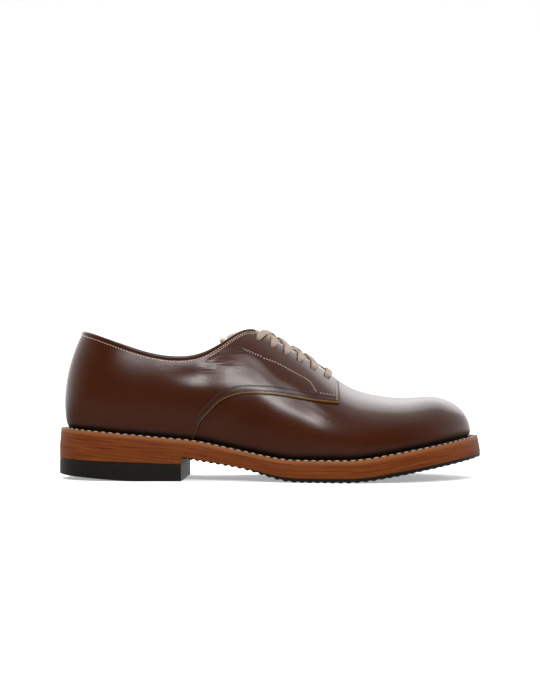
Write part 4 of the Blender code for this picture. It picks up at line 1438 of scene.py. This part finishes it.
def under_facing(x, side, lean):
    """From over the instep to under a facing and up to its eyelet's inside."""
    edge = facing_edge(x)
    return [
        Place(x + 1.6 * lean, side * (edge - 3.4), 0.2, LACE_WIDTH, LACE_THICK),
        Place(x + 1.2 * lean, side * (edge - 1.2), -1.5, 4.4, 1.0),
        Place(x + 0.9 * lean, side * (edge + 1.5), UNDER, 4.2, 0.6),
        Place(x + 0.2 * lean, side * (edge + EYELET_DOWN - 1.5), UNDER, 3.0, 0.6),
    ]


def up_facing(knot):
    """0 at the eyelet, 1 at the facing's edge and beyond."""
    return np.clip((facing_edge(knot.x) + EYELET_DOWN - abs(knot.d)) / EYELET_DOWN, 0, 1)


def flattened(wave, power):
    """Half a sine or cosine, filled out towards a square wave."""
    return np.sign(wave) * np.abs(wave) ** power / 2


def strand(name, knots):
    """A flat lace lofted along its knots."""
    path = np.array(knots)
    path[:, 0] += EDGE_LEAN * np.array([up_facing(knot) for knot in knots])
    run = run_along(path[:, :3])
    fine = np.linspace(0, run[-1], int(run[-1] / STRAND_STEP))
    x, d, out, width, thick = (np.interp(fine, run, path[:, k]) for k in range(5))
    x, d, out = (np.convolve(np.pad(v, 4, mode="edge"), EASE, "valid") for v in (x, d, out))
    u = u_at(x)
    q = q_across(u, d[:, None])
    line = wrap(u, q, out[:, None])[0][:, 0]
    lengthwise = unit(last(u + 1e-3, q) - last(u - 1e-3, q))[:, 0]
    tangent = unit(np.gradient(line, axis=0))
    across = unit(lengthwise - (lengthwise * tangent).sum(1, keepdims=True) * tangent)
    lift = np.cross(tangent, across)
    sideways = flattened(np.cos(ROUND), 0.45)[None] * width[:, None]
    upwards = flattened(np.sin(ROUND), 0.7)[None] * thick[:, None]
    sections = line[:, None] + sideways[..., None] * across[:, None] + upwards[..., None] * lift[:, None]
    piece = loft(name, sections, {"along": fine[:, None], "across": sideways})
    smooth(piece, 60)
    dress(piece, taupe_lace)
    return piece


print("facing edge to middle at the lowest pair, mm:", facing_edge(EYELET_X[0]).round(1))

# %% [markdown]
# The bar comes first, then the five crossings. The strand on top changes sides from one crossing
# to the next, as hands lace it.

# %% Lace
STEP = EYELET_X[0] - EYELET_X[1]
CROSSINGS = len(EYELET_X) - 1
CROSS_OVER, CROSS_UNDER = 2.1, 0.5  # heights of the two strands where they cross
FIRST_OVER, FIRST_UNDER = 0.9, -0.6  # the first crossing comes from inside and lies lower
bar_half = out_of_eyelet(EYELET_X[0], -1, 0)
bar_middle = [Place(EYELET_X[0], 0, OVER - 0.4, LACE_WIDTH, LACE_THICK)]
other_half = [knot._replace(d=-knot.d) for knot in bar_half[::-1]]
lace_bar = strand("lace_lowest_bar", bar_half + bar_middle + other_half)
hand_over(lace_bar, "lace", "lace_bar")


def turned_back(x, knots):
    """Knots mirrored about a length and in the other order."""
    return [p._replace(x=2 * x - p.x) for p in knots][::-1]


for k in range(CROSSINGS):
    low, high = EYELET_X[k], EYELET_X[k + 1]
    crossing = []
    for side, word in ((-1, "outer"), (1, "inner")):
        on_top = (side > 0) == (k % 2 == 0)
        height = CROSS_OVER if on_top else CROSS_UNDER
        start = out_of_eyelet(low, side, STEP / 4)
        end = under_facing(high, -side, STEP / 8)
        if k == 0:
            height = FIRST_OVER if on_top else FIRST_UNDER
            start = turned_back(low, under_facing(low, side, STEP / 8))
        if k == CROSSINGS - 1:
            end = turned_back(high, out_of_eyelet(high, -side, STEP / 2))
        middle = [Place((low + high) / 2, 0.0, height, LACE_WIDTH, LACE_THICK)]
        crossing.append(strand(f"lace_crossing_{k + 1}_{word}", start + middle + end))
    only(*crossing)
    bpy.ops.object.join()
    joined = bpy.context.object
    joined.name = joined.data.name = f"lace_crossing_{k + 1}"
    hand_over(joined, "lace", f"lace_cross_{k + 1}")

# %% [markdown]
# ## The studio
# The photo is a pale studio shot: a white floor that runs up into a white wall. Polished leather
# shows its lights as shapes, so where they stand matters more than how many there are. A wide
# soft box behind and above draws the pale rim along the toe and the instep. A narrow strip in
# front, leaning back like the instep, draws the long streak on the side of the vamp, and two
# small boxes draw the patch on the quarter and the sheen over the facing.

# %% Floor and wall
FLOOR_FRONT, FLOOR_BACK, COVE, WALL_TOP, HALF_WIDTH = -0.64, 1.2, 0.6, 3.0, 4
FLOOR_STEPS, ACROSS_STEPS = 8, 9
bend = np.linspace(0, np.pi / 2, 12)[1:]
flat = np.linspace(FLOOR_FRONT, FLOOR_BACK, FLOOR_STEPS)
y = np.concatenate([flat, FLOOR_BACK + COVE * np.sin(bend), [FLOOR_BACK + COVE]])
z = np.concatenate([np.zeros(FLOOR_STEPS), COVE * (1 - np.cos(bend)), [WALL_TOP]])
across = np.linspace(-HALF_WIDTH, HALF_WIDTH, ACROSS_STEPS)
sweep = np.stack([np.stack([np.full(len(y), x), y, z], 1) for x in across]) / MM + ORIGIN
floor = sheet("studio_sweep", sweep)
smooth(floor, 60)
*_, studio_white = finish(
    "studio_white",
    Base_Color=(0.87, 0.87, 0.87, 1), Roughness=0.7, Specular_IOR_Level=0.1,
    Emission_Color=(1, 1, 1, 1), Emission_Strength=0.35,
)
dress(floor, studio_white)
floor.visible_glossy = False
print("sweep reaches", round(float(y.max()), 2), "m behind")

# %% [markdown]
# Each light is an area light turned to face a point on the shoe. The camera doesn't see it, but
# the leather does.

# %% Lights

def softbox(name, at, aim, size, watts, long_side=(0, 0, 1)):
    """An area light that faces aim, its second size along long_side."""
    bpy.ops.object.light_add(type="AREA", location=at)
    light = bpy.context.object
    light.name = name
    light.data.shape, light.data.size, light.data.size_y = "RECTANGLE", *size
    light.data.energy = watts
    away = unit(np.array(at, float) - np.array(aim))
    up = unit(np.array(long_side) - np.dot(long_side, away) * away)
    light.rotation_euler = Matrix((np.cross(up, away), up, away)).transposed().to_euler()
    light.visible_camera = False


softbox("back_softbox", at=(0.0, 1.20, 1.17), aim=(0.0, 0.0, 0.05), size=(3.2, 1.1), watts=20)
softbox(
    "front_strip", at=(-0.054, -0.756, 0.598), aim=(0.01, -0.03, 0.07),
    size=(0.07, 0.40), watts=3.8, long_side=(0.202, 0.235, 0.373),
)
softbox(
    "front_top_strip", at=(0.045, -0.327, 0.54), aim=(0.0, -0.03, 0.075),
    size=(0.13, 0.12), watts=0.55, long_side=(0.0, 0.79, 0.61),
)
softbox(
    "quarter_kicker", at=(-0.172, -0.775, 0.55), aim=(-0.043, -0.035, 0.067),
    size=(0.135, 0.09), watts=1.75,
)
print("lights:", [o.name for o in bpy.data.objects if o.type == "LIGHT"])

# %% [markdown]
# The world is the even glow from the walls of the room: strong behind, weaker at the sides and
# nearly dark in front, because a bright front would lay a grey veil over the whole side of the
# shoe. For the same reason the floor is kept out of reflections, and the lower half of the world
# stands in for it at half strength. Where the camera sees past the wall, the world is plain
# white.

# %% World
BACK_TURN = np.radians(7)  # the brightest wall stands a little to the right of straight behind
FRONT_GLOW, BACK_GLOW, FLOOR_GLOW, SEEN_GLOW = 0.05, 1.9, 0.5, 1.05


def soft_range(wire, value, start, end, low=0.0, high=1.0):
    """From low to high, smoothly, as a value goes from start to end."""
    span = {"From Min": start, "From Max": end, "To Min": low, "To Max": high}
    return wire.node("MapRange", {"interpolation_type": "SMOOTHSTEP"}, {"Value": value, **span})


world = bpy.data.worlds.new("studio")
bpy.context.scene.world = world
world.use_nodes = True
background = world.node_tree.nodes["Background"]
background.inputs["Color"].default_value = (1, 1, 1, 1)
wire = Wire(world.node_tree)
direction = wire.node("TexCoord", take="Generated")
behind = (np.sin(BACK_TURN), np.cos(BACK_TURN), 0)
facing = wire.node("VectorMath", {"operation": "DOT_PRODUCT"}, {0: direction, 1: behind}, take="Value")
height = wire.node("SeparateXYZ", {}, {"Vector": direction}, take="Z")
tent = soft_range(wire, facing, -0.85, 0.25, FRONT_GLOW, BACK_GLOW)
above = soft_range(wire, height, -0.12, 0.04)
seen = wire.node("LightPath", take="Is Camera Ray")
strength = (tent * above + (1 - above) * FLOOR_GLOW) * (1 - seen) + seen * SEEN_GLOW
wire.tree.links.new(strength.output, background.inputs["Strength"])
bpy.context.scene.view_settings.view_transform = "Standard"
print("world:", len(world.node_tree.nodes), "nodes")

# %% [markdown]
# ## Handing over
